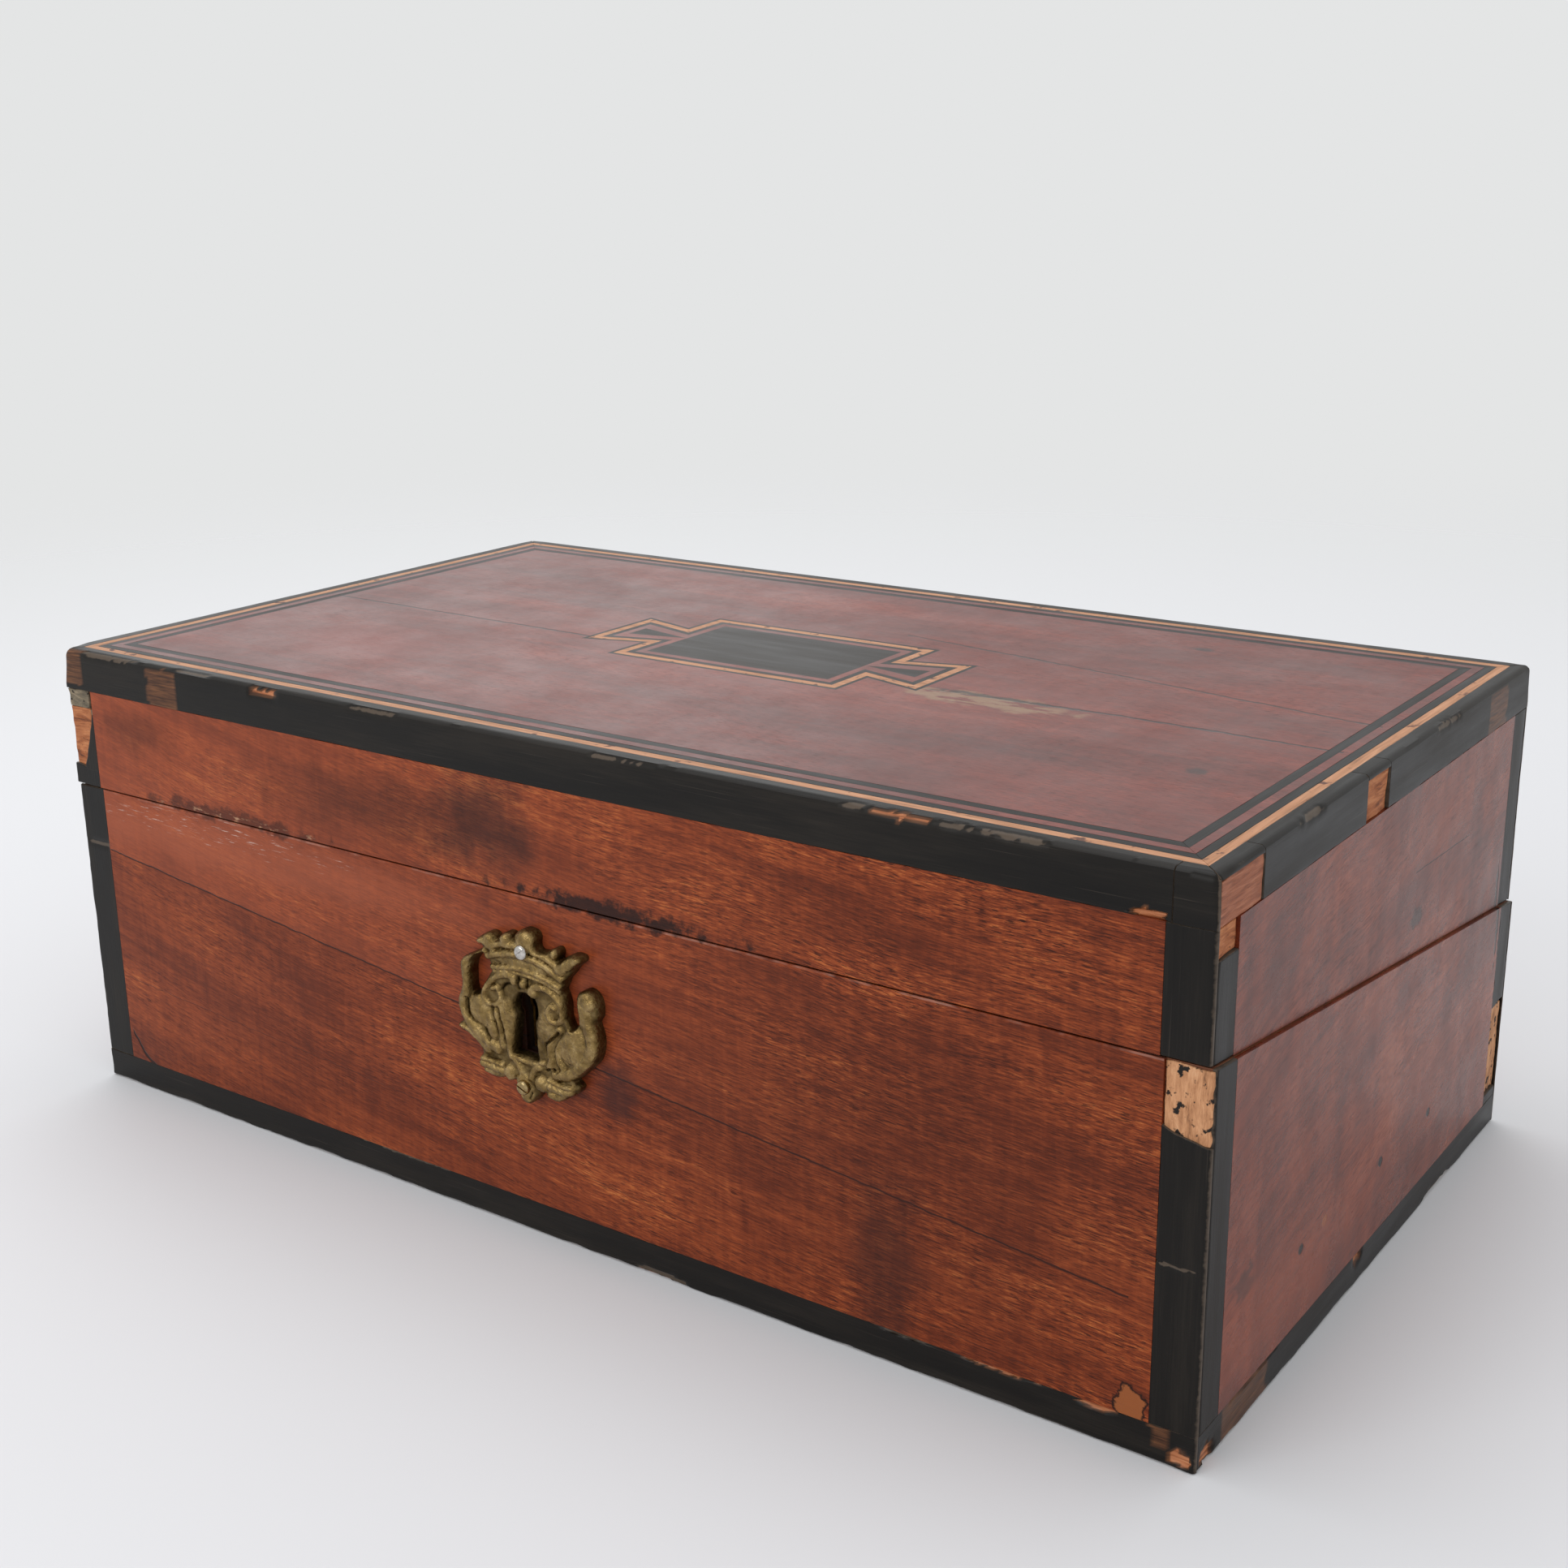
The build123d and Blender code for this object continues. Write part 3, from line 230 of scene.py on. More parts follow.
def addNode(tree, kind, inputs=(), out=0, stops=(), points=(), **settings):
    # adds a shader node with its settings, ramp stops or curve points, fills or links its inputs, and
    # gives one output
    node = tree.nodes.new("ShaderNode" + kind)
    for key, value in settings.items():
        setattr(node, key, value)
    if stops:
        ramp = node.color_ramp.elements
        while len(ramp) < len(stops):
            ramp.new(0.5)
        for stop, (at, shade) in zip(ramp, stops):
            stop.position = at
            stop.color = linear(shade)
    if points:
        curve = node.mapping.curves[0].points
        while len(curve) < len(points):
            curve.new(0.5, 0.5)
        for point, place in zip(curve, sorted(points)):
            point.location = place
            point.handle_type = "VECTOR"
        node.mapping.update()
    for key, value in inputs.items() if isinstance(inputs, dict) else enumerate(inputs):
        socket = node.inputs[key]
        if isinstance(value, bpy.types.NodeSocket):
            tree.links.new(value, socket)
        else:
            socket.default_value = linear(value) if isinstance(value, str) else value
    return node.outputs[out]


def startMaterial(name, settings=None):
    # an empty material with its shader, ready to be given its sockets
    material = bpy.data.materials.new(name)
    material.use_nodes = True
    tree = material.node_tree
    tree.nodes.clear()
    shader = tree.nodes.new("ShaderNodeBsdfPrincipled")
    output = tree.nodes.new("ShaderNodeOutputMaterial")
    tree.links.new(shader.outputs[0], output.inputs[0])
    for key, value in (settings or {}).items():
        shader.inputs[key].default_value = value
    return material, tree, shader


def finish(tree, shader, colour=None, roughness=None, bump=None, strength=0.5, distance=0.3):
    # links colour and roughness, and a height in mm as bump
    if colour is not None:
        tree.links.new(colour, shader.inputs["Base Color"])
    if roughness is not None:
        tree.links.new(roughness, shader.inputs["Roughness"])
    if bump is not None:
        normal = addNode(tree, "Bump", {"Height": bump, "Strength": strength, "Distance": distance * mm})
        tree.links.new(normal, shader.inputs["Normal"])


def mixColour(tree, amount, below, above, blend="MIX"):
    # lays one colour over another by a mask
    return addNode(tree, "Mix", {0: amount, 6: below, 7: above}, 2, data_type="RGBA", blend_type=blend,
                   clamp_factor=True)


def woodCoords(tree, fromAttribute):
    # a piece of the scene carries its own grain coordinates in mm; a solid of the model uses Object ones
    if not fromAttribute:
        return addNode(tree, "TexCoord", (), 3)
    vector = addNode(tree, "Attribute", (), 1, attribute_name="grain")
    return addNode(tree, "VectorMath", {0: vector, "Scale": mm}, operation="SCALE")


def grainPattern(tree, coords, along, across, axis=0, turn=0.0, detail=4.0, rough=0.6, warp=0.0, seed=0.0):
    # noise drawn out along the grain: one cell is along x across millimetres
    size = [1 / (across * mm)] * 3
    size[axis] = 1 / (along * mm)
    spin = [0.0, 0.0, 0.0]
    spin[(axis + 1) % 3 if axis != 0 else 1] = turn
    moved = addNode(tree, "Mapping", {"Vector": coords, "Scale": size, "Rotation": spin,
                                      "Location": (seed, seed, seed)})
    return addNode(tree, "TexNoise", {"Vector": moved, "Scale": 1.0, "Detail": detail, "Roughness": rough,
                                      "Distortion": warp})


def mark(centre, radii, colour, amount=1.0, soft=0.35, ragged=0.25, grit=9.0, deep=0.0, streaks=None):
    # A stain, scuff or hole on a face, or painted shade such as the dark inside of the keyhole: an ellipse in
    # mm whose edge is soft and wanders with a noise of grit mm. deep raises or sinks it in the bump. streaks,
    # if given, are their width in mm, how much shorter the noise is along them than across, and the level it
    # has to pass to show.
    return {"centre": centre, "radii": radii, "colour": colour, "amount": amount, "soft": soft,
            "ragged": ragged, "grit": grit, "deep": deep, "streaks": streaks}


def markMask(tree, plane, spot):
    # distance from the middle of the ellipse in radii, plus the wandering, made 1 inside and 0 outside
    local = addNode(tree, "Mapping", {"Vector": plane, "Location": (*spot["centre"], 0),
                                      "Scale": (*spot["radii"], 1)},
                    vector_type="TEXTURE")
    reach = addNode(tree, "VectorMath", (local,), 1, operation="LENGTH")
    noise = addNode(tree, "TexNoise", {"Vector": plane, "Scale": 1 / spot["grit"], "Detail": 4.0,
                                       "Roughness": 0.6})
    shift = addNode(tree, "MapRange", (noise, 0.25, 0.75, -spot["ragged"], spot["ragged"]))
    total = addNode(tree, "Math", (reach, shift), operation="ADD")
    mask = addNode(tree, "MapRange", (total, 1 - spot["soft"], 1 + spot["soft"], 1.0, 0.0),
                   interpolation_type="SMOOTHSTEP")
    if spot["streaks"]:
        width, stretch, level = spot["streaks"]
        streaky = addNode(tree, "Mapping", {"Vector": plane, "Scale": (stretch / width, 1 / width, 1),
                                            "Rotation": (0, 0, math.radians(10))})
        streaky = addNode(tree, "TexNoise", {"Vector": streaky, "Scale": 1.0, "Detail": 4.0,
                                             "Roughness": 0.65})
        streaky = addNode(tree, "MapRange", (streaky, level, level + 0.08, 0.0, 1.0))
        mask = addNode(tree, "Math", (mask, streaky), operation="MULTIPLY")
    return addNode(tree, "Math", (mask, spot["amount"]), operation="MULTIPLY")


seamRange = ((-250.0, 250.0), (-150.0, 250.0))  # mm along and up a face that a curve's 0 to 1 covers


def seamMask(tree, plane, points, width, soft=0.3, wander=0.4, grit=5.0):
    # a fine line through points in the plane of a face: how near q is to a curve drawn over p
    split = addNode(tree, "SeparateXYZ", (plane,))
    p, q = split, split.node.outputs[1]
    (p0, p1), (q0, q1) = seamRange
    unit = addNode(tree, "MapRange", (p, p0, p1, 0.0, 1.0))
    line = addNode(tree, "FloatCurve", {1: unit},
                   points=[((x - p0) / (p1 - p0), (y - q0) / (q1 - q0)) for x, y in points])
    level = addNode(tree, "MapRange", (line, 0.0, 1.0, q0, q1))
    noise = addNode(tree, "TexNoise", {"Vector": plane, "Scale": 1 / grit, "Detail": 3.0})
    shift = addNode(tree, "MapRange", (noise, 0.0, 1.0, -wander, wander))
    away = addNode(tree, "Math", (q, level), operation="SUBTRACT")
    away = addNode(tree, "Math", (away, shift), operation="ADD")
    above = addNode(tree, "MapRange", (away, -0.3, 0.3, 0.0, 1.0))
    away = addNode(tree, "Math", (away,), operation="ABSOLUTE")
    near = addNode(tree, "MapRange", (away, (1 - soft) * width / 2, (0.5 + soft) * width, 1.0, 0.0),
                   interpolation_type="SMOOTHSTEP")
    xs = [x for x, y in points]
    inside = addNode(tree, "Math", (p, (min(xs) + max(xs)) / 2, (max(xs) - min(xs)) / 2), operation="COMPARE")
    return addNode(tree, "Math", (near, inside), operation="MULTIPLY"), above


def facePlane(tree, first, second):
    # Object coordinates in mm, with the two axes of a face first
    coords = addNode(tree, "TexCoord", (), 3)
    scaled = addNode(tree, "VectorMath", {0: coords, "Scale": 1000.0}, operation="SCALE")
    split = addNode(tree, "SeparateXYZ", (scaled,))
    outs = split.node.outputs
    return coords, addNode(tree, "CombineXYZ", (outs[first], outs[second], 0.0))


def mahogany(name, axis, second, settings, marks=(), seams=(), only=None):
    # Veneered mahogany under old shellac and wax: red-brown, with a slow change of colour along the
    # board, dense short fibres at a small slant that are clearer in some places than in others, dark
    # pores, a faint ripple across the grain, and a soft shine that wear has dulled. Where only is an
    # axis, the marks and seams are on the piece at the positive end of that axis.
    material, tree, shader = startMaterial(name, {"Specular IOR Level": settings["shine"]})
    coords, plane = facePlane(tree, axis, second)
    split = addNode(tree, "SeparateXYZ", (plane,))
    # the grain leans: across is moved by lean * p + bow * p * p, so it runs steeper at one end
    square = addNode(tree, "Math", (split, split), operation="MULTIPLY")
    leaning = addNode(tree, "Math", (split, settings["lean"]), operation="MULTIPLY")
    leaning = addNode(tree, "Math", (square, settings["bow"] * mm, leaning), operation="MULTIPLY_ADD")
    sway = addNode(tree, "TexNoise", {"Vector": coords, "Scale": 1 / (70 * mm), "Detail": 1.0})
    leaning = addNode(tree, "Math", (sway, settings["sway"], leaning), operation="MULTIPLY_ADD")
    leaning = addNode(tree, "Math", (leaning, mm), operation="MULTIPLY")
    lift = addNode(tree, "CombineXYZ", {second: leaning})
    leant = addNode(tree, "VectorMath", (coords, lift), operation="ADD")
    slow = grainPattern(tree, leant, 190, 34, axis, detail=2, warp=0.4, seed=settings["seed"])
    band = grainPattern(tree, leant, 60, 3.2, axis, detail=4, rough=0.6, seed=settings["seed"])
    fibre = grainPattern(tree, leant, *settings["fibre"], axis, detail=4, rough=0.72)
    ripple = grainPattern(tree, leant, *settings["ripple"], axis, detail=3, warp=0.6)
    pores = grainPattern(tree, leant, settings["poreLong"], settings["poreWide"], axis, detail=2, rough=0.5,
                         seed=3.0)
    patchy = grainPattern(tree, leant, 60, 22, axis, detail=3, seed=7.0)
    drift = addNode(tree, "MapRange", (split, -200.0, 200.0, *settings["clear"]))
    clear = addNode(tree, "MapRange", (patchy, 0.35, 0.65, 0.55, 1.35))
    clear = addNode(tree, "Math", (clear, drift), operation="MULTIPLY")
    fibre = addNode(tree, "Math", (fibre, 0.5), operation="SUBTRACT")
    slow = addNode(tree, "MapRange", (slow, 0.0, 1.0, 0.5 - settings["slow"] / 2, 0.5 + settings["slow"] / 2))
    tone = addNode(tree, "Math", (fibre, clear, slow), operation="MULTIPLY_ADD")
    middle = 0.5
    for layer, share in ((band, "band"), (ripple, "figure"), (patchy, "cloud")):
        tone = addNode(tree, "Math", (layer, settings[share], tone), operation="MULTIPLY_ADD")
        middle += 0.5 * settings[share]
    tone = addNode(tree, "MapRange", (tone, middle - 0.36, middle + 0.36, 0.0, 1.0))
    colour = addNode(tree, "ValToRGB", (tone,), stops=list(zip((0.0, 0.38, 0.64, 1.0), settings["tones"])))
    poreMask = addNode(tree, "MapRange", (pores, settings["poreFrom"], settings["poreFrom"] + 0.08, 0.0,
                                          settings["poreDark"]), interpolation_type="SMOOTHSTEP")
    poreMask = addNode(tree, "Math", (poreMask, clear), operation="MULTIPLY", use_clamp=True)
    colour = mixColour(tree, poreMask, colour, settings["pore"])
    height = addNode(tree, "Math", (poreMask, -0.5), operation="MULTIPLY")
    height = addNode(tree, "Math", (band, 0.2, height), operation="MULTIPLY_ADD")
    here = 1.0
    if only is not None:
        ends = addNode(tree, "SeparateXYZ", (coords,), only)
        here = addNode(tree, "Math", (ends, 0.0), operation="GREATER_THAN")
    for seam in seams:
        mask, above = seamMask(tree, plane, seam["line"], seam["width"], wander=seam.get("wander", 0.4))
        if "above" in seam:
            tint, amount, fadeFrom, fadeTo = seam["above"]
            fade = addNode(tree, "MapRange", (split, fadeFrom, fadeTo, amount, 0.0))
            fade = addNode(tree, "Math", (fade, above), operation="MULTIPLY")
            colour = mixColour(tree, fade, colour, tint)
        mask = addNode(tree, "Math", (mask, seam.get("amount", 0.9)), operation="MULTIPLY")
        mask = addNode(tree, "Math", (mask, here), operation="MULTIPLY")
        if "broken" in seam:
            gaps = addNode(tree, "TexNoise", {"Vector": plane, "Scale": 1 / seam["broken"], "Detail": 3.0,
                                              "Roughness": 0.7})
            gaps = addNode(tree, "MapRange", (gaps, 0.45, 0.6, 0.0, 1.0))
            mask = addNode(tree, "Math", (mask, gaps), operation="MULTIPLY")
        colour = mixColour(tree, mask, colour, seam["colour"])
        height = addNode(tree, "Math", (mask, seam.get("deep", -1.0), height), operation="MULTIPLY_ADD")
    for spot in marks:
        mask = addNode(tree, "Math", (markMask(tree, plane, spot), here), operation="MULTIPLY")
        colour = mixColour(tree, mask, colour, spot["colour"])
        if spot["deep"]:
            height = addNode(tree, "Math", (mask, spot["deep"], height), operation="MULTIPLY_ADD")
    cloud = addNode(tree, "TexNoise", {"Vector": coords, "Scale": 1 / (24 * mm), "Detail": 5.0,
                                       "Roughness": 0.65})
    rough = addNode(tree, "MapRange", (cloud, 0.3, 0.7, *settings["rough"]))
    rough = addNode(tree, "Math", (poreMask, 0.25, rough), operation="MULTIPLY_ADD")
    finish(tree, shader, colour, rough, height, 0.6, 0.12)
    return material


frontWood = {"tones": ("#2f130b", "#652a14", "#8b401f", "#bc6c38"), "pore": "#260d07", "poreLong": 3.6,
             "poreWide": 0.32, "poreFrom": 0.56, "poreDark": 0.55, "lean": 0.115, "bow": -0.21, "sway": 4.0,
             "figure": 0.22, "shine": 0.16, "band": 0.4, "slow": 0.36, "cloud": 0.34, "fibre": (4.5, 0.42),
             "ripple": (3.5, 24), "clear": (0.6, 1.25), "rough": (0.28, 0.42), "seed": 2.0}
sideWood = dict(frontWood, cloud=0.2, tones=("#38150d", "#5e2616", "#7d3820", "#9f573a"), lean=-0.18,
                bow=0.2, sway=14.0, figure=0.55, poreDark=0.35, ripple=(14, 60), clear=(0.8, 0.7),
                rough=(0.2, 0.34), seed=5.0, shine=0.26)
topWood = dict(frontWood, tones=("#34110b", "#5a1f14", "#712a1b", "#924029"), lean=0.02, bow=0.0, figure=0.2,
               poreDark=0.35, clear=(0.5, 0.9), rough=(0.3, 0.44), seed=9.0, shine=0.55, slow=0.5)

print("materials: mahogany")
frontMarks = [
    mark((-19, 126), (16, 15), "#2c1a18", 0.62, 0.6, 0.5, 14),
    mark((27, 54), (6, 8), "#2a1818", 0.6, 0.6, 0.5),
    mark((115, 26), (10, 24), "#2b1715", 0.55, 0.6, 0.5, 12),
    mark((-120, 96), (80, 8), "#a4583c", 0.4, 0.5, 0.3, 20),
    mark((-60, 122), (46, 9), "#2b120c", 0.45, 0.7, 0.6, 12),
    mark((-172, 128), (16, 6), "#2b120c", 0.4, 0.7, 0.6, 8),
    mark((-128, 107.2), (34, 2.0), "#1d0e0b", 0.6, 0.4, 1.0, 6, deep=-0.5),
    mark((-122, 106.8), (30, 1.0), "#b58d6d", 0.8, 0.5, 0.9, streaks=(1.6, 0.3, 0.54)),
    mark((120, 60), (62, 30), "#3a160c", 0.3, 0.8, 0.5, 20),
    # painted shade: a near-black oval behind the keyhole stands for its dark inside
    mark((-3.2, 66.4), (7, 13), "#0e0706", 0.95, 0.1, 0.0),
    mark((27, 107.5), (32, 2.6), "#1c0f0d", 0.9, 0.4, 0.9, 5, deep=-0.6),
    mark((-140, 101), (54, 3.6), "#cdb4a8", 0.7, 0.5, 0.8, deep=-0.4, streaks=(0.62, 0.07, 0.58)),
    mark((185.6, 12.6), (4.4, 6.0), "#140b09", 0.9, 0.08, 0.35, 4, deep=-1.0),
    mark((185.6, 12.6), (3.7, 5.2), "#8f522d", 1.0, 0.08, 0.35, 4),
]
frontSeams = [
    {"line": [(-190, 85), (-35, 67), (21, 59), (184, 42)], "width": 0.45, "colour": "#2a120d", "wander": 0.5,
     "above": ("#a8563a", 0.3, -190.0, 120.0)},
    {"line": [(-190.4, 105.4), (190.4, 105.4)], "width": 0.5, "colour": "#a5796a", "amount": 0.55,
     "wander": 0.2, "broken": 14.0, "deep": -0.3},
    {"line": [(-190, 40), (-60, 31), (60, 20), (184, 12)], "width": 0.3, "colour": "#3a170f", "amount": 0.5,
     "wander": 0.8},
    {"line": [(-189, 20), (-184, 13), (-178, 9)], "width": 1.5, "colour": "#120806", "wander": 1.2,
     "deep": -2.0},
]
frontMahogany = mahogany("mahogany_front", 0, 2, frontWood, frontMarks, frontSeams)
backMahogany = mahogany("mahogany_back", 0, 2, dict(frontWood, seed=14.0, lean=0.04, bow=0.1), [
    mark((-90, 60), (26, 14), "#2c1512", 0.35, 0.7, 0.5, 14),
    mark((70, 118), (34, 9), "#2c1512", 0.3, 0.7, 0.5, 12),
    mark((30, 30), (60, 10), "#b08a76", 0.3, streaks=(0.7, 0.08, 0.6)),
])
sideMarks = [
    mark((23, 99), (4, 3), "#1c1210", 0.7, 0.35, 0.6, 4, deep=-0.5),
    mark((-90, 40), (5, 4), "#241412", 0.7, 0.35, 0.8, 4),
    mark((-70, 24), (46, 15), "#9a4a2c", 0.35, 0.7, 0.4, 18),
    mark((104, 110), (1.0, 24), "#120907", 0.9, 0.3, 0.9, 6, deep=-1.5),
    mark((99, 78), (0.8, 16), "#120907", 0.9, 0.3, 0.9, 6, deep=-1.5),
    mark((-53, 32), (1.5, 1.4), "#120a08", 1.0, 0.2, 0.2, 3, deep=-2.0),
    mark((-37, 33), (1.9, 1.5), "#8a4a26", 1.0, 0.2, 0.2, 3, deep=-1.0),
    mark((5, 32), (1.6, 1.5), "#120a08", 1.0, 0.2, 0.2, 3, deep=-2.0),
    mark((45, 31), (1.5, 1.4), "#120a08", 1.0, 0.2, 0.2, 3, deep=-2.0),
]
sideMahogany = mahogany("mahogany_sides", 1, 2, sideWood, sideMarks, [
    {"line": [(20, 113), (66, 111)], "width": 0.3, "colour": "#2a120d", "wander": 0.3},
], only=0)
topMarks = [
    mark((-125, -57), (26, 17), "#7c2f22", 0.5, 0.6, 0.4, 14),
    mark((84, -12), (26, 6.5), "#8f7354", 0.7, 0.3, 0.5, 8, deep=-0.6, streaks=(4.0, 0.3, 0.42)),
    mark((84, -7), (24, 1.3), "#1b100c", 0.8, 0.4, 0.9, 5, deep=-1.0),
    mark((110, 80), (3, 2), "#2a1512", 0.8, 0.35, 0.5, 3),
    mark((164, -44), (3, 2.4), "#2a1512", 0.8, 0.35, 0.5, 3),
]
topSeams = [
    {"line": [(-190, -7), (-67, -9)], "width": 1.0, "colour": "#140908", "wander": 0.8, "deep": -2.0},
    {"line": [(60, -9), (125, -6), (189, -8)], "width": 1.1, "colour": "#140908", "wander": 1.2,
     "deep": -2.0},
    {"line": [(20, 48), (100, 36), (189, 21)], "width": 0.9, "colour": "#1c0d0a", "wander": 1.2,
     "deep": -1.5},
]
topMahogany = mahogany("mahogany_top", 0, 1, topWood, topMarks, topSeams)


def darkWood(name, settings, fromAttribute=True, axis=0):
    # Ebonised pearwood or ebony strip: near black, with a close fine grain, dulled by old wax, and
    # grey-brown where the edges are rubbed; this lighter edge colour is also a painted highlight along the
    # edges. A let-in patch of another wood shows where patch is 1.
    material, tree, shader = startMaterial(name, {"Specular IOR Level": 0.18})
    coords = woodCoords(tree, fromAttribute)
    fine = grainPattern(tree, coords, 18, 0.5, axis, detail=4, rough=0.7)
    broad = grainPattern(tree, coords, 60, 7, axis, detail=3)
    tone = addNode(tree, "Math", (fine, 0.5, broad), operation="MULTIPLY_ADD")
    tone = addNode(tree, "MapRange", (tone, 0.45, 1.05, 0.0, 1.0))
    colour = addNode(tree, "ValToRGB", (tone,), stops=list(zip((0.0, 0.5, 1.0), settings["tones"])))
    scuff = addNode(tree, "TexNoise", {"Vector": coords, "Scale": 1 / (1.6 * mm), "Detail": 4.0,
                                       "Roughness": 0.7})
    if fromAttribute:
        wear = addNode(tree, "Attribute", (), 2, attribute_name="wear")
        patch = addNode(tree, "Attribute", (), 2, attribute_name="patch")
        # worn edges and painted highlight: lighter grey-brown where wear is high
        rubbed = addNode(tree, "Math", (scuff, 0.9, wear), operation="MULTIPLY_ADD")
        rubbed = addNode(tree, "MapRange", (rubbed, 1.0, 1.5, 0.0, settings["rubAndHighlight"]),
                         interpolation_type="SMOOTHSTEP")
        colour = mixColour(tree, rubbed, colour, settings["rubbed"])
        brown = grainPattern(tree, coords, 9, 0.7, axis, detail=4)
        inset = addNode(tree, "ValToRGB", (brown,), stops=[(0.3, "#2e1c13"), (0.5, "#553623"),
                                                           (0.75, "#754d30")])
        colour = mixColour(tree, patch, colour, inset)
        ground = addNode(tree, "ValToRGB", (brown,), stops=[(0.3, "#6a3a22"), (0.5, "#b06e48"),
                                                            (0.75, "#c98c66")])
        deepest = addNode(tree, "MapRange", (patch, 1.3, 1.9, 0.0, 1.0))
        colour = mixColour(tree, deepest, colour, ground)
    scratch = grainPattern(tree, coords, 40, 0.35, axis, turn=0.15, detail=1)
    scratch = addNode(tree, "MapRange", (scratch, 0.70, 0.78, 0.0, 0.45))
    colour = mixColour(tree, scratch, colour, settings["scratch"])
    rough = addNode(tree, "MapRange", (broad, 0.3, 0.7, *settings["rough"]))
    finish(tree, shader, colour, rough, fine, 0.35, 0.12)
    return material


# rubbed and its amount colour the worn edges and also paint a highlight along them
ebonyTones = {"tones": ("#0b0908", "#15120f", "#25201b"), "rubbed": "#5e5145", "rubAndHighlight": 0.7,
              "scratch": "#4a423b", "rough": (0.3, 0.46)}
ebony = darkWood("ebonised_strip", ebonyTones)
inlayEbony = darkWood("ebony_inlay", dict(ebonyTones, tones=("#171412", "#26221f", "#3c3733")),
                      fromAttribute=False)

print("materials: other woods")


def plainWood(name, tones, long, wide, axis=0, fromAttribute=False, rough=(0.55, 0.75), speck=None,
              relief=0.2, keyholeShade=None):
    # Bare or thinly finished timber: tone by grain, darker pores, dust in the low places, and where asked,
    # painted shade near black round a point, for the dark inside of the keyhole.
    material, tree, shader = startMaterial(name, {"Specular IOR Level": 0.35})
    coords = woodCoords(tree, fromAttribute)
    rings = grainPattern(tree, coords, long, wide, axis, detail=5, rough=0.6, warp=0.6)
    fine = grainPattern(tree, coords, long * 0.25, wide * 0.12, axis, detail=3, rough=0.7)
    tone = addNode(tree, "Math", (fine, 0.45, rings), operation="MULTIPLY_ADD")
    tone = addNode(tree, "MapRange", (tone, 0.45, 1.0, 0.0, 1.0))
    colour = addNode(tree, "ValToRGB", (tone,), stops=list(zip(np.linspace(0, 1, len(tones)), tones)))
    if speck:
        dirt = addNode(tree, "TexNoise", {"Vector": coords, "Scale": 1 / (speck["size"] * mm), "Detail": 3.0,
                                          "Roughness": 0.6})
        dirt = addNode(tree, "MapRange", (dirt, speck["from"], speck["from"] + 0.05, 0.0, 1.0))
        colour = mixColour(tree, dirt, colour, speck["colour"])
    # painted shade: the board goes near black within reach mm of the given point, for the dark inside of the
    # keyhole
    if keyholeShade:
        (shadeX, shadeZ), reach = keyholeShade
        _, plane = facePlane(tree, 0, 2)
        away = addNode(tree, "VectorMath", (plane, (shadeX, shadeZ, 0)), 1, operation="DISTANCE")
        black = addNode(tree, "MapRange", (away, reach - 4, reach, 0.96, 0.0),
                        interpolation_type="SMOOTHSTEP")
        colour = mixColour(tree, black, colour, "#0c0706")
    roughness = addNode(tree, "MapRange", (fine, 0.3, 0.7, *rough))
    finish(tree, shader, colour, roughness, fine, 0.5, relief)
    return material


boxTones = ("#6a3f26", "#a8734c", "#be8660", "#cf9d78")
boxwood = plainWood("boxwood_line", boxTones, 22, 1.2, fromAttribute=True, rough=(0.38, 0.55),
                    speck={"size": 5.0, "from": 0.62, "colour": "#5c3320"})
boxwoodInlay = plainWood("boxwood_inlay", boxTones, 22, 1.2, rough=(0.38, 0.55),
                         speck={"size": 4.0, "from": 0.6, "colour": "#5c3320"})
bareOrange = plainWood("bare_mahogany_ground", ("#4a2412", "#96552f", "#b8754a", "#cb8e62"), 9, 1.7,
                       fromAttribute=True, rough=(0.6, 0.85),
                       speck={"size": 1.6, "from": 0.66, "colour": "#2a150c"}, relief=0.5)
bareTan = plainWood("bare_pine_ground", ("#5a3a26", "#ae7a54", "#ca946b", "#d9ab84"), 9, 2.4, 1,
                    fromAttribute=True, rough=(0.65, 0.9),
                    speck={"size": 3.2, "from": 0.56, "colour": "#1a130f"}, relief=0.5)
pinkWood = plainWood("worn_mahogany_block", ("#54291a", "#8a4e33", "#a66648", "#b87f60"), 12, 1.0,
                     fromAttribute=True, rough=(0.5, 0.7), relief=0.3)
dustyGlue = plainWood("old_glue_and_dust", ("#3c362c", "#62594a", "#7f725d", "#a08f78"), 6, 2.2,
                      fromAttribute=True, rough=(0.7, 0.9),
                      speck={"size": 2.4, "from": 0.6, "colour": "#241c15"}, relief=0.5)
boardTones = ("#4b2a1a", "#6d412a", "#865439", "#9c6848")
carcaseLong = plainWood("carcase_mahogany_long", boardTones, 120, 6, 0)
carcaseAcross = plainWood("carcase_mahogany_across", boardTones, 120, 6, 1)
# painted shade round the keyhole on the front board, for the dark seen through it
keyholeShadedBoard = plainWood("front_board_painted_keyhole_shade", boardTones, 120, 6, 0, keyholeShade=((keyholeX, 68.0), 15.0))
oldPine = plainWood("old_pine", ("#7a5433", "#a37648", "#b98c5b", "#c99f6f"), 160, 7, 0)

print("materials: metal, glass and leather")


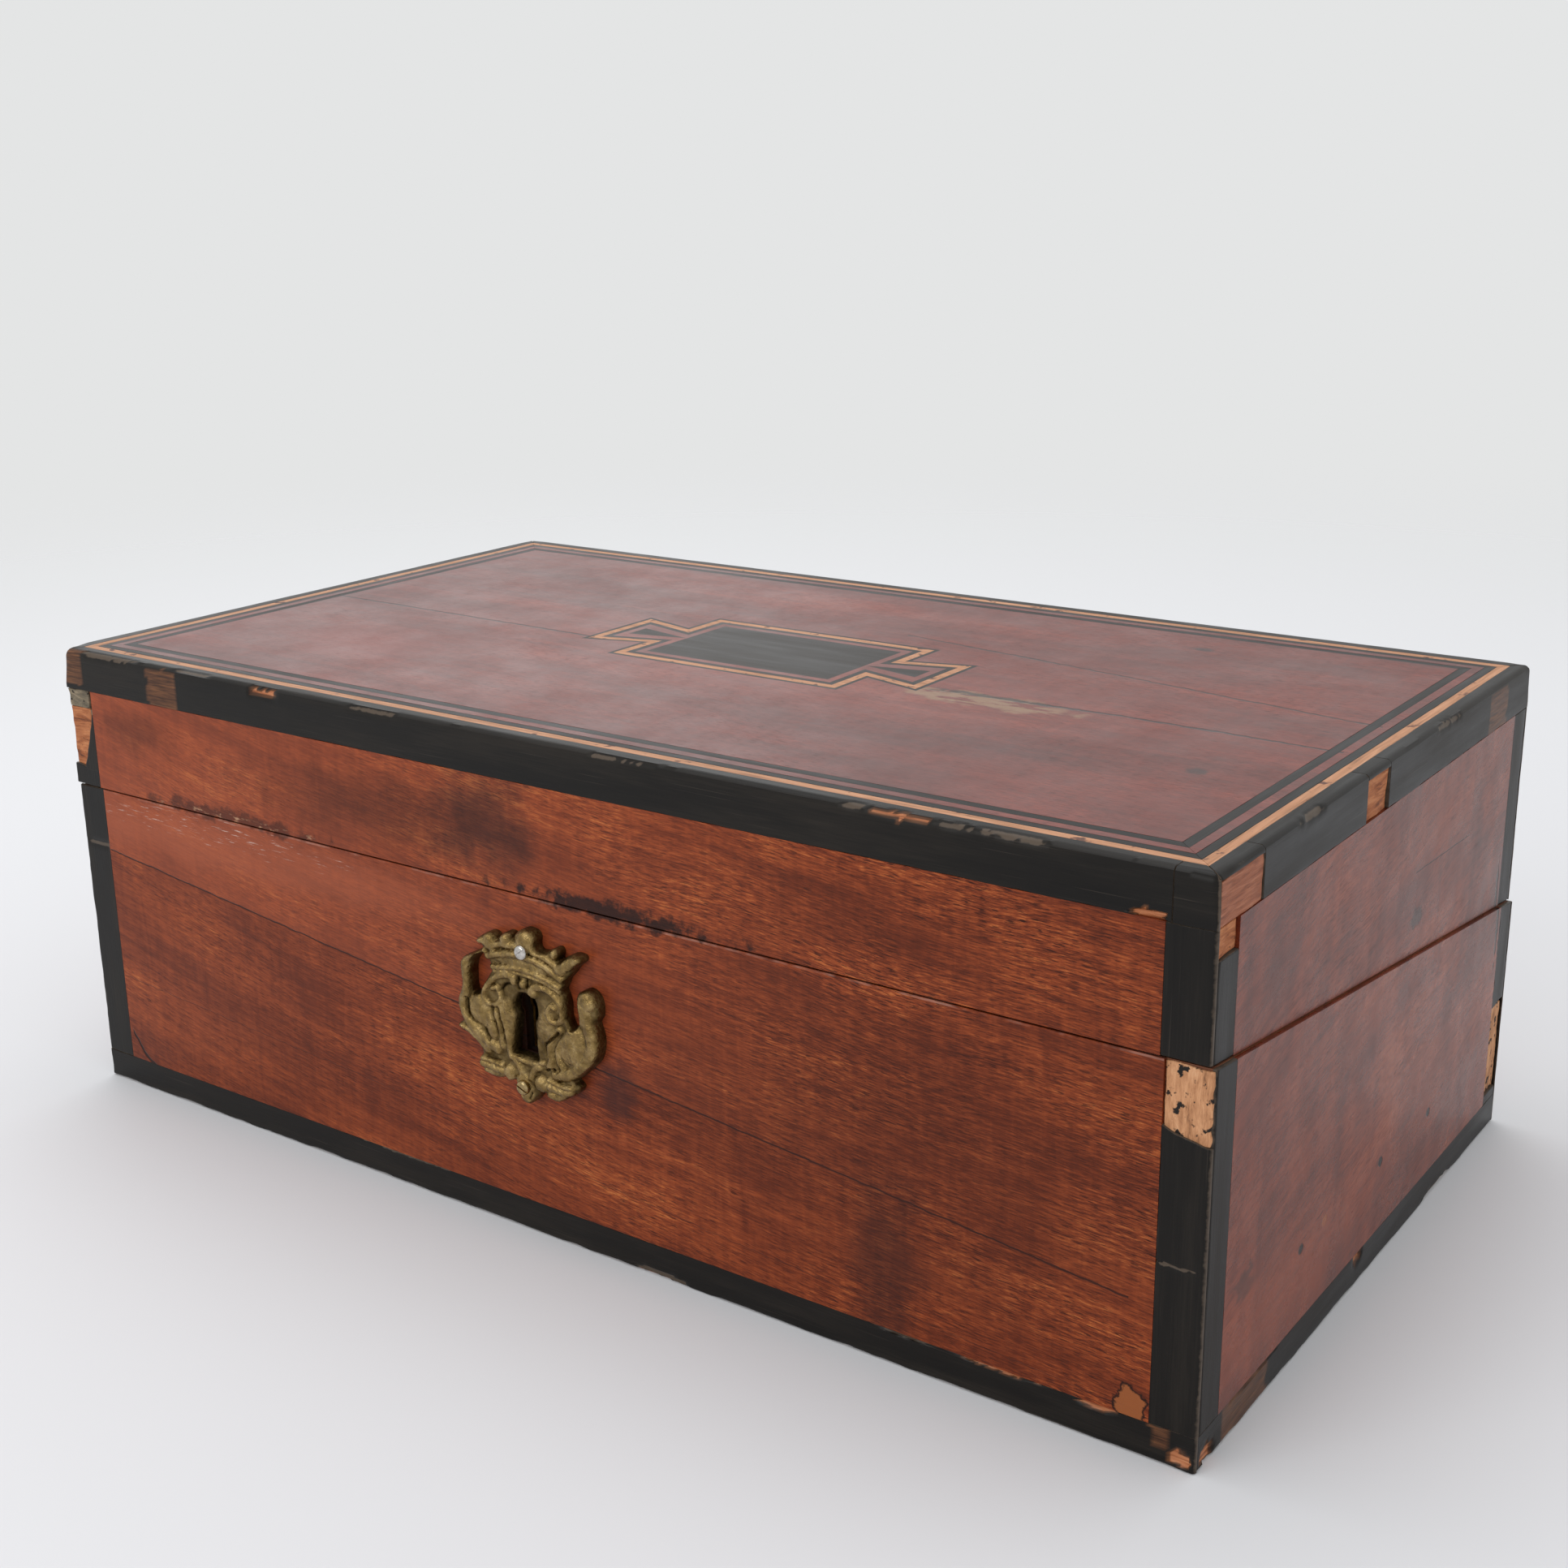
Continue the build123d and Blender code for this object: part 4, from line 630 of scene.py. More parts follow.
def oldMetal(name, tones, rough, grit, relief=0.15, tarnish=None, upper=None):
    # Old brass or iron: bright where it is rubbed, brown and duller in the hollows, with a fine pitting.
    # upper is a height in metres and the tones of another metal used above it.
    material, tree, shader = startMaterial(name, {"Metallic": 1.0})
    coords = addNode(tree, "TexCoord", (), 3)
    cloud = addNode(tree, "TexNoise", {"Vector": coords, "Scale": 1 / (grit * mm), "Detail": 6.0,
                                       "Roughness": 0.65})
    fine = addNode(tree, "TexNoise", {"Vector": coords, "Scale": 1 / (0.35 * mm), "Detail": 3.0,
                                      "Roughness": 0.6})
    colour = addNode(tree, "ValToRGB", (cloud,), stops=list(zip((0.3, 0.5, 0.7), tones)))
    roughness = addNode(tree, "MapRange", (cloud, 0.3, 0.7, *rough))
    height = addNode(tree, "Math", (fine, 0.4, cloud), operation="MULTIPLY_ADD")
    if upper:
        split = addNode(tree, "SeparateXYZ", (coords,), 2)
        high = addNode(tree, "Math", (split, upper[0]), operation="GREATER_THAN")
        steel = addNode(tree, "ValToRGB", (cloud,), stops=list(zip((0.3, 0.5, 0.7), upper[1])))
        colour = mixColour(tree, high, colour, steel)
    if tarnish:
        low = addNode(tree, "Attribute", (), 2, attribute_name="wear")
        colour = mixColour(tree, low, tarnish, colour)
        polish = addNode(tree, "MapRange", (low, 0.5, 1.0, 0.08, -0.12))
        roughness = addNode(tree, "Math", (roughness, polish), operation="ADD")
        lumps = addNode(tree, "TexNoise", {"Vector": coords, "Scale": 1 / (1.1 * mm), "Detail": 3.0,
                                           "Roughness": 0.55})
        height = addNode(tree, "Math", (lumps, 1.4, height), operation="MULTIPLY_ADD")
    finish(tree, shader, colour, roughness, height, 0.6, relief)
    return material


castBrass = oldMetal("cast_brass", ("#67522f", "#8a7247", "#ab9264"), (0.26, 0.42), 3.0, 0.42,
                     tarnish="#30230f")
hingeBrass = oldMetal("rolled_brass", ("#7d6238", "#a88a52", "#bfa268"), (0.32, 0.5), 5.0, 0.08)
escutcheonScrew = oldMetal("escutcheon_screw", ("#7d6a48", "#a08a60", "#b8a37a"), (0.14, 0.3), 1.2, 0.08,
                           upper=(73 * mm, ("#8c8883", "#b9b5b0", "#d4d1cc")))
screwBrass = oldMetal("turned_brass_screw", ("#86693b", "#ad8d52", "#c6a76b"), (0.24, 0.42), 1.2, 0.08)


def inkGlass():
    # Pressed clear glass with a faint green cast and slightly wavy faces.
    material, tree, shader = startMaterial("pressed_glass", {"Roughness": 0.04, "IOR": 1.5,
                                                             "Transmission Weight": 1.0})
    coords = addNode(tree, "TexCoord", (), 3)
    wave = addNode(tree, "TexNoise", {"Vector": coords, "Scale": 1 / (9 * mm), "Detail": 2.0})
    shader.inputs["Base Color"].default_value = linear("#dfeae2")
    finish(tree, shader, None, None, wave, 0.3, 0.5)
    return material


def writingLeather():
    # Thin goat skin glued to the flaps: dark green, worn and browned in the middle, with a fine
    # grain of 0.8 mm and a gilt fillet pressed along the border.
    material, tree, shader = startMaterial("tooled_leather", {"Specular IOR Level": 0.4})
    vector = addNode(tree, "Attribute", (), 1, attribute_name="grain")
    gilt = addNode(tree, "Attribute", (), 2, attribute_name="patch")
    bald = addNode(tree, "Attribute", (), 2, attribute_name="wear")
    cells = addNode(tree, "TexVoronoi", {"Vector": vector, "Scale": 1 / 0.9}, feature="DISTANCE_TO_EDGE")
    cloud = addNode(tree, "TexNoise", {"Vector": vector, "Scale": 1 / 40, "Detail": 6.0, "Roughness": 0.7})
    colour = addNode(tree, "ValToRGB", (cloud,), stops=[(0.3, "#1d2b22"), (0.5, "#2b3c2e"),
                                                        (0.72, "#4a4a33")])
    rubbed = addNode(tree, "Math", (bald, cloud), operation="MULTIPLY")
    colour = mixColour(tree, rubbed, colour, "#6b5637")
    thin = addNode(tree, "TexNoise", {"Vector": vector, "Scale": 0.45, "Detail": 4.0, "Roughness": 0.7})
    thin = addNode(tree, "MapRange", (thin, 0.35, 0.55, 0.15, 0.9))
    gold = addNode(tree, "Math", (gilt, thin), operation="MULTIPLY")
    colour = mixColour(tree, gold, colour, "#b08d45")
    height = addNode(tree, "MapRange", (cells, 0.0, 0.25, 0.0, 1.0))
    height = addNode(tree, "Math", (gilt, -1.6, height), operation="MULTIPLY_ADD")
    rough = addNode(tree, "MapRange", (cloud, 0.3, 0.7, 0.5, 0.72))
    finish(tree, shader, colour, rough, height, 0.5, 0.15)
    return material


glass = inkGlass()
leather = writingLeather()

print("pieces: corner strips")

cornerStrips = {"step": 1.3, "corner": 0.9, "inner": 0.15, "end": 0.25, "ragged": (0.12, 0.12, 0.1, 0.12)}


def cornerStrip(strip, shift, seed):
    # an upright strip; its edge on the corner of the box is rubbed round, the other stays crisp
    look = cornerStrips
    rounds = [look["inner"], look["inner"], look["end"], look["end"]]
    ragged = list(look["ragged"])
    rounds[strip["corner"]] = look["corner"]
    ragged[strip["corner"]] = 0.0
    more = {"rounds": rounds, "ragged": ragged, **strip.get("more", {})}
    return slab(onWall(strip["wall"], shift), strip["a"], strip["b"], strip["low"], strip["high"],
                look["step"], seed=seed, grainAlong="v", **more)


def uprights(shift, low, high):
    # the eight strips of one half, from the front left round to the back left
    w, d, p = halfWidth, halfDepth, postWidth
    side = veneer + 0.05
    spans = {"frontLeft": (shift - w, shift - w + p), "frontRight": (shift + w - p, shift + w),
             "rightFront": (-d + side, -d + p), "rightBack": (d - p, d - side),
             "backRight": (-(shift + w), -(shift + w - p)), "backLeft": (-(shift - w + p), -(shift - w)),
             "leftBack": (-(d - side), -(d - p)), "leftFront": (d - p, d - side)}
    yOnWall = {"front": lambda u: -d + 0 * np.asarray(u), "back": lambda u: d + 0 * np.asarray(u),
               "right": np.asarray, "left": lambda u: -np.asarray(u)}
    strips = {}
    for k, (name, (a, b)) in enumerate(spans.items()):
        wall = next(key for key in yOnWall if name.startswith(key))
        ends = [(lambda u, f=end, y=yOnWall[wall]: f(y(u))) if callable(end) else end for end in (low, high)]
        strips[name] = {"wall": wall, "a": a, "b": b, "corner": k % 2, "low": ends[0], "high": ends[1]}
    return strips


def baseRim(y):
    return rimHeight(y) - sawGap


def lidRim(y):
    return rimHeight(y) + sawGap


baseStrips = uprights(0.0, footTop, baseRim)
lidStrips = uprights(lidShift, lidRim, bandLow)
baseStrips["frontRight"]["high"] = lambda u: 89.5 - 0.28 * (np.asarray(u) - 190)
lidStrips["frontLeft"]["high"] = 112.5
lidStrips["rightFront"]["high"] = 131.0
broken = baseStrips.pop("rightBack")
baseStrips["rightBackLow"] = dict(broken, high=13.0)
baseStrips["rightBackHigh"] = dict(broken, low=43.0, more={"ragged": (1.0, 0.0, 1.2, 0.1)})
baseStrips["frontRight"]["more"] = {"ragged": (0.15, 0.0, 0.1, 0.9), "chips": ((195, 53.8, 7, 0.5, 0.4),)}
baseStrips["frontLeft"]["more"] = {"chips": ((-197, 86, 7, 0.5, 0.4),)}
lidStrips["frontLeft"]["more"] = {"ragged": (0.0, 0.1, 0.1, 0.8)}
lidStrips["frontLeftSliver"] = dict(lidStrips["frontLeft"], low=111.5, high=131.0,
                                    more={"ragged": (0.3, 0.1, 0, 0.6)},
                                    a=lambda v: lidShift - halfWidth + 5.2 + 0.34 * (np.asarray(v) - 111.5))
baseParts = [cornerStrip(strip, 0.0, 20 + k) for k, strip in enumerate(baseStrips.values())]
lidParts = [cornerStrip(strip, lidShift, 40 + k) for k, strip in enumerate(lidStrips.values())]
buildPiece("base_ebony_uprights", baseParts, ebony, "base", ("base_corner_strips",))
buildPiece("lid_ebony_uprights", lidParts, ebony, "lid", ("lid_corner_strips",))

print("pieces: foot bands")
footBand = {"step": 1.4, "rounds": (0.9, 0.9, 0.7, 0.2), "ragged": (0, 0, 0.25, 0.25)}
sideIn = halfDepth - veneer - 0.05
footParts = []
for wall, reach, seed in (("front", halfWidth, 61), ("right", sideIn, 62), ("back", halfWidth, 63),
                          ("left", sideIn, 64)):
    long = wall in ("front", "back")
    chips = {
        "front": ((150, 10, 14, 1.2, 0.8), (176, 9.6, 6, 1.6, 0.9), (-60, 10, 20, 0.8, 0.4),
                  (40, 1, 10, 1.0, 0.6), (199, 3, 4, 2.4, 0.9), (120, 9.9, 9, 1.0, 0.7)),
        "right": ((-8, 8.5, 3, 2.2, 1.0), (-80, 9.8, 16, 1.0, 0.7), (60, 1.0, 14, 1.2, 0.7),
                  (-108, 2.5, 4, 2.5, 1.0)),
    }.get(wall, ())
    patches = {"right": ((-99, -72, 0, 10),), "front": ((191, 196, 5, 10),)}.get(wall, ())
    footParts.append(slab(onWall(wall), -reach, reach, footLow, footTop, footBand["step"],
                          rounds=footBand["rounds"] if long else (0.2, 0.2) + footBand["rounds"][2:],
                          ragged=footBand["ragged"], chips=chips, patches=patches, seed=seed))
buildPiece("foot_band_round_base", footParts, ebony, "base", ("foot_bands",))

print("pieces: bands round the edge of the top")
edgeBand = {"arris": 1.3, "topWidth": 5.0, "step": 1.3,
            "corners": {(-1, -1): 2.9, (1, -1): 2.2, (1, 1): 1.8, (-1, 1): 1.8}}


def roundCorners(parts, radii):
    # rubs the corners of the top round: near a corner, a point outside a ball-cornered box of that
    # corner's radius is drawn onto it; the radius dies away over 16 mm from the corner
    for (sx, sy), radius in radii.items():
        corner = np.array([lidShift + sx * halfWidth, sy * halfDepth, height])
        outward = np.array([sx, sy, 1])
        for part in parts:
            point = part["points"] / mm
            inside = (corner - point) * outward
            reach = np.sort(inside, axis=1)[:, 2]
            r = radius * (1 - smoothStep(reach, 2.0, 16.0))
            over = np.clip(r[:, None] - inside, 0, None)
            length = np.linalg.norm(over, axis=1)
            scale = np.where((length > r) & (r > 0.05), r / np.maximum(length, 1e-9), 1.0)
            part["points"] = (point + (over - over * scale[:, None]) * -outward) * mm


def onEdge(wall, shift):
    # a strip bent over the top arris: v runs up the face, round a quarter circle and in over the top
    r = edgeBand["arris"]
    straight = height - bandLow - r
    arc = r * math.pi / 2

    def place(u, v, h):
        turn = np.clip((v - straight) / arc, 0, 1) * math.pi / 2
        up = bandLow + np.minimum(v, straight) + (r - h) * np.sin(turn)
        inward = r - (r - h) * np.cos(turn) + np.clip(v - straight - arc, 0, None)
        if wall == "front":
            return np.stack([u, -halfDepth + inward, up], -1)
        if wall == "back":
            return np.stack([2 * shift - u, halfDepth - inward, up], -1)
        if wall == "right":
            return np.stack([shift + halfWidth - inward, u, up], -1)
        return np.stack([shift - halfWidth + inward, -u, up], -1)
    return place


def bandEnds(straight, arc, long):
    # the ends run upright on the face and as a mitre over the top
    start = 0.0 if long else veneer + 0.05

    def low(v):
        over = np.clip(np.asarray(v) - straight - arc, 0, None)
        bend = edgeBand["arris"] * (1 - np.cos(np.clip((np.asarray(v) - straight) / arc, 0, 1) * math.pi / 2))
        inset = bend + over + 0.03
        return np.where(np.asarray(v) < straight + 0.001, start, np.maximum(inset, start))
    return low


radius = edgeBand["arris"]
straight = height - bandLow - radius
arc = radius * math.pi / 2
across = straight + arc + edgeBand["topWidth"] - radius
bandParts = []
bandChips = {
    "front": ((120 + lidShift, straight + 0.6, 9, 1.4, 0.75), (106, straight + 1.2, 4, 1.0, 0.5),
              (134, straight + 0.8, 5, 1.2, 0.7), (-106, straight - 0.4, 4.6, 1.5, 0.95),
              (-111.5, straight - 0.2, 1.4, 1.2, 1.1), (-60, straight + 1, 12, 0.8, 0.35),
              (30, straight + 1, 16, 0.7, 0.3), (185.5, 0.8, 5, 1.5, 1.05),
              (-182, straight + 1.4, 16, 1.5, 0.45), (-140, straight + 1.6, 9, 1.0, 0.6),
              (150, straight + 1.2, 12, 1.0, 0.5)),
    "right": ((-60, straight + 1, 9, 1.0, 0.5), (40, straight + 1, 14, 0.8, 0.4)),
}
bandPatches = {"front": ((-162, -148, 0, straight + 0.4), (-206, -194.6, 1.6, straight + 2.4)),
               "left": ((108, 116, 1.6, straight + 2.4),), "right": ((76, 92, 0, straight),)}
for wall, reach, seed in (("front", halfWidth, 71), ("right", halfDepth, 72), ("back", halfWidth, 75),
                          ("left", halfDepth, 76)):
    long = wall in ("front", "back")
    mid = lidShift if long else 0.0
    inset = bandEnds(straight, arc, long)
    pieces = [(-reach, reach, 0.0)]
    if wall == "front":
        pieces = [(-reach, 190.8, 0.0), (190.8, reach, 0.0)]
    if wall == "right":
        pieces = [(-reach, -halfDepth + 25.0, straight - 0.4), (-halfDepth + 25.0, -halfDepth + 91, 0.0),
                  (-halfDepth + 91, -halfDepth + 107, straight - 0.4), (-halfDepth + 107, reach, 0.0)]
    for k, (a, b, low) in enumerate(pieces):
        first, last = k == 0, k == len(pieces) - 1
        lowEnd = (lambda v, f=inset, r=reach, m=mid: m - r + f(v)) if first else a + 0.08
        highEnd = (lambda v, f=inset, r=reach, m=mid: m + r - f(v)) if last else b - 0.08
        rounds = [0.7 if outer and long else 0.15 for outer in (first, last)]
        # round the arris a line of wear that is also a painted highlight
        bandParts.append(slab(onEdge(wall, lidShift), lowEnd, highEnd, low, across, edgeBand["step"],
                              rounds=(*rounds, 0.2, 0.05), ragged=(0, 0, 0.15, 0.08),
                              chips=bandChips.get(wall, ()), patches=bandPatches.get(wall, ()),
                              rubbed=(straight + 0.5 * arc, 1.1, 0.42), seed=seed + k))
roundCorners(bandParts, edgeBand["corners"])
buildPiece("top_edge_band", bandParts, ebony, "lid", ("lid_edge_bands",))

print("pieces: lines round the top")


def frameOnTop(inset, width, seed, wander=0.08, sink=0.02):
    # four mitred strips round the top, each a little wavy
    parts = []
    for k, (sx, sy, reach) in enumerate(((0, -1, halfWidth), (1, 0, halfDepth), (0, 1, halfWidth),
                                         (-1, 0, halfDepth))):
        other = halfDepth if sx == 0 else halfWidth

        def place(u, v, h, sx=sx, sy=sy, other=other):
            if sx == 0:
                return np.stack([lidShift - sy * u, sy * (other - v), height - h], -1)
            return np.stack([lidShift + sx * (other - v), sx * u, height - h], -1)
        parts.append(slab(place, lambda v, r=reach: -r + np.asarray(v) + 0.04,
                          lambda v, r=reach: r - np.asarray(v) - 0.04, inset, inset + width, 1.3,
                          rounds=(0, 0, 0.08, 0.08), ragged=(0, 0, wander, wander), seed=seed + k,
                          sink=sink, dents=0.02))
    return parts


boxwoodIn, middleIn, mahoganyIn, innerIn, fieldIn = 5.0, 8.0, 10.9, 13.8, 16.9
ebonyLines = frameOnTop(middleIn, mahoganyIn - middleIn, 81) + frameOnTop(innerIn, fieldIn - innerIn, 85)
buildPiece("top_ebony_lines", ebonyLines, ebony, "lid", ("top_ebony_stringing",))
buildPiece("top_boxwood_line", frameOnTop(boxwoodIn, middleIn - boxwoodIn, 91), boxwood, "lid",
           ("top_boxwood_stringing",))

print("pieces: bare ground where strips are lost")


def barePatch(name, wall, shift, span, material, body, seed, sink=0.75, thick=1.19, ragged=0.3, rough=0.25):
    # torn fibres and glue on the ground where a strip has gone, rough by up to rough mm
    a, b, c, d = span
    part = slab(onWall(wall, shift), a, b, c, d, 0.7, rounds=(0.1, 0.1, 0.1, 0.1), ragged=(ragged,) * 4,
                thick=thick, seed=seed, sink=sink, dents=rough, grainAlong="u")
    return buildPiece(name, [part], material, body, sharp=60)


w, d = halfWidth, halfDepth
leftEdge = lidShift - w
barePatch("bare_ground_lid_left", "front", lidShift,
          (leftEdge + 0.9, lambda v: leftEdge + 5.4 + 0.3 * np.clip(np.asarray(v) - 112, 0, 17),
           112.6, 132.6), bareOrange, "lid", 101)
barePatch("old_glue_lid_left", "front", lidShift, (leftEdge + 0.6, leftEdge + 10.6, 132.8, 138.5), dustyGlue,
          "lid", 102, sink=0.6)
barePatch("old_glue_lid_left_inner", "front", lidShift,
          (lambda v: leftEdge + 5.9 + 0.3 * np.clip(np.asarray(v) - 112, 0, 17), leftEdge + postWidth - 0.1,
           126.5, 132.6),
          dustyGlue, "lid", 108, sink=0.8)
barePatch("bare_ground_base_right", "front", 0, (w - 12.3, w - 0.6, 86.2, 105.2), bareTan, "base", 103)
barePatch("bare_ground_lid_right", "right", lidShift, (-d + 1.5, -d + 12.0, 131.4, 138.4), bareOrange, "lid",
          104)
barePatch("worn_block_lid_right", "right", lidShift, (-d + 1.5, -d + 24.6, 139.0, 150.2), pinkWood, "lid",
          105, sink=0.35)
barePatch("bare_ground_lid_notch", "right", lidShift, (-d + 91.3, -d + 106.7, 139.0, 150.2), bareOrange,
          "lid", 106, sink=0.8)
barePatch("bare_ground_base_back", "right", 0, (d - 12.3, d - 1.5, 13.4, 42.4), bareTan, "base", 107)

print("pieces: escutcheon")

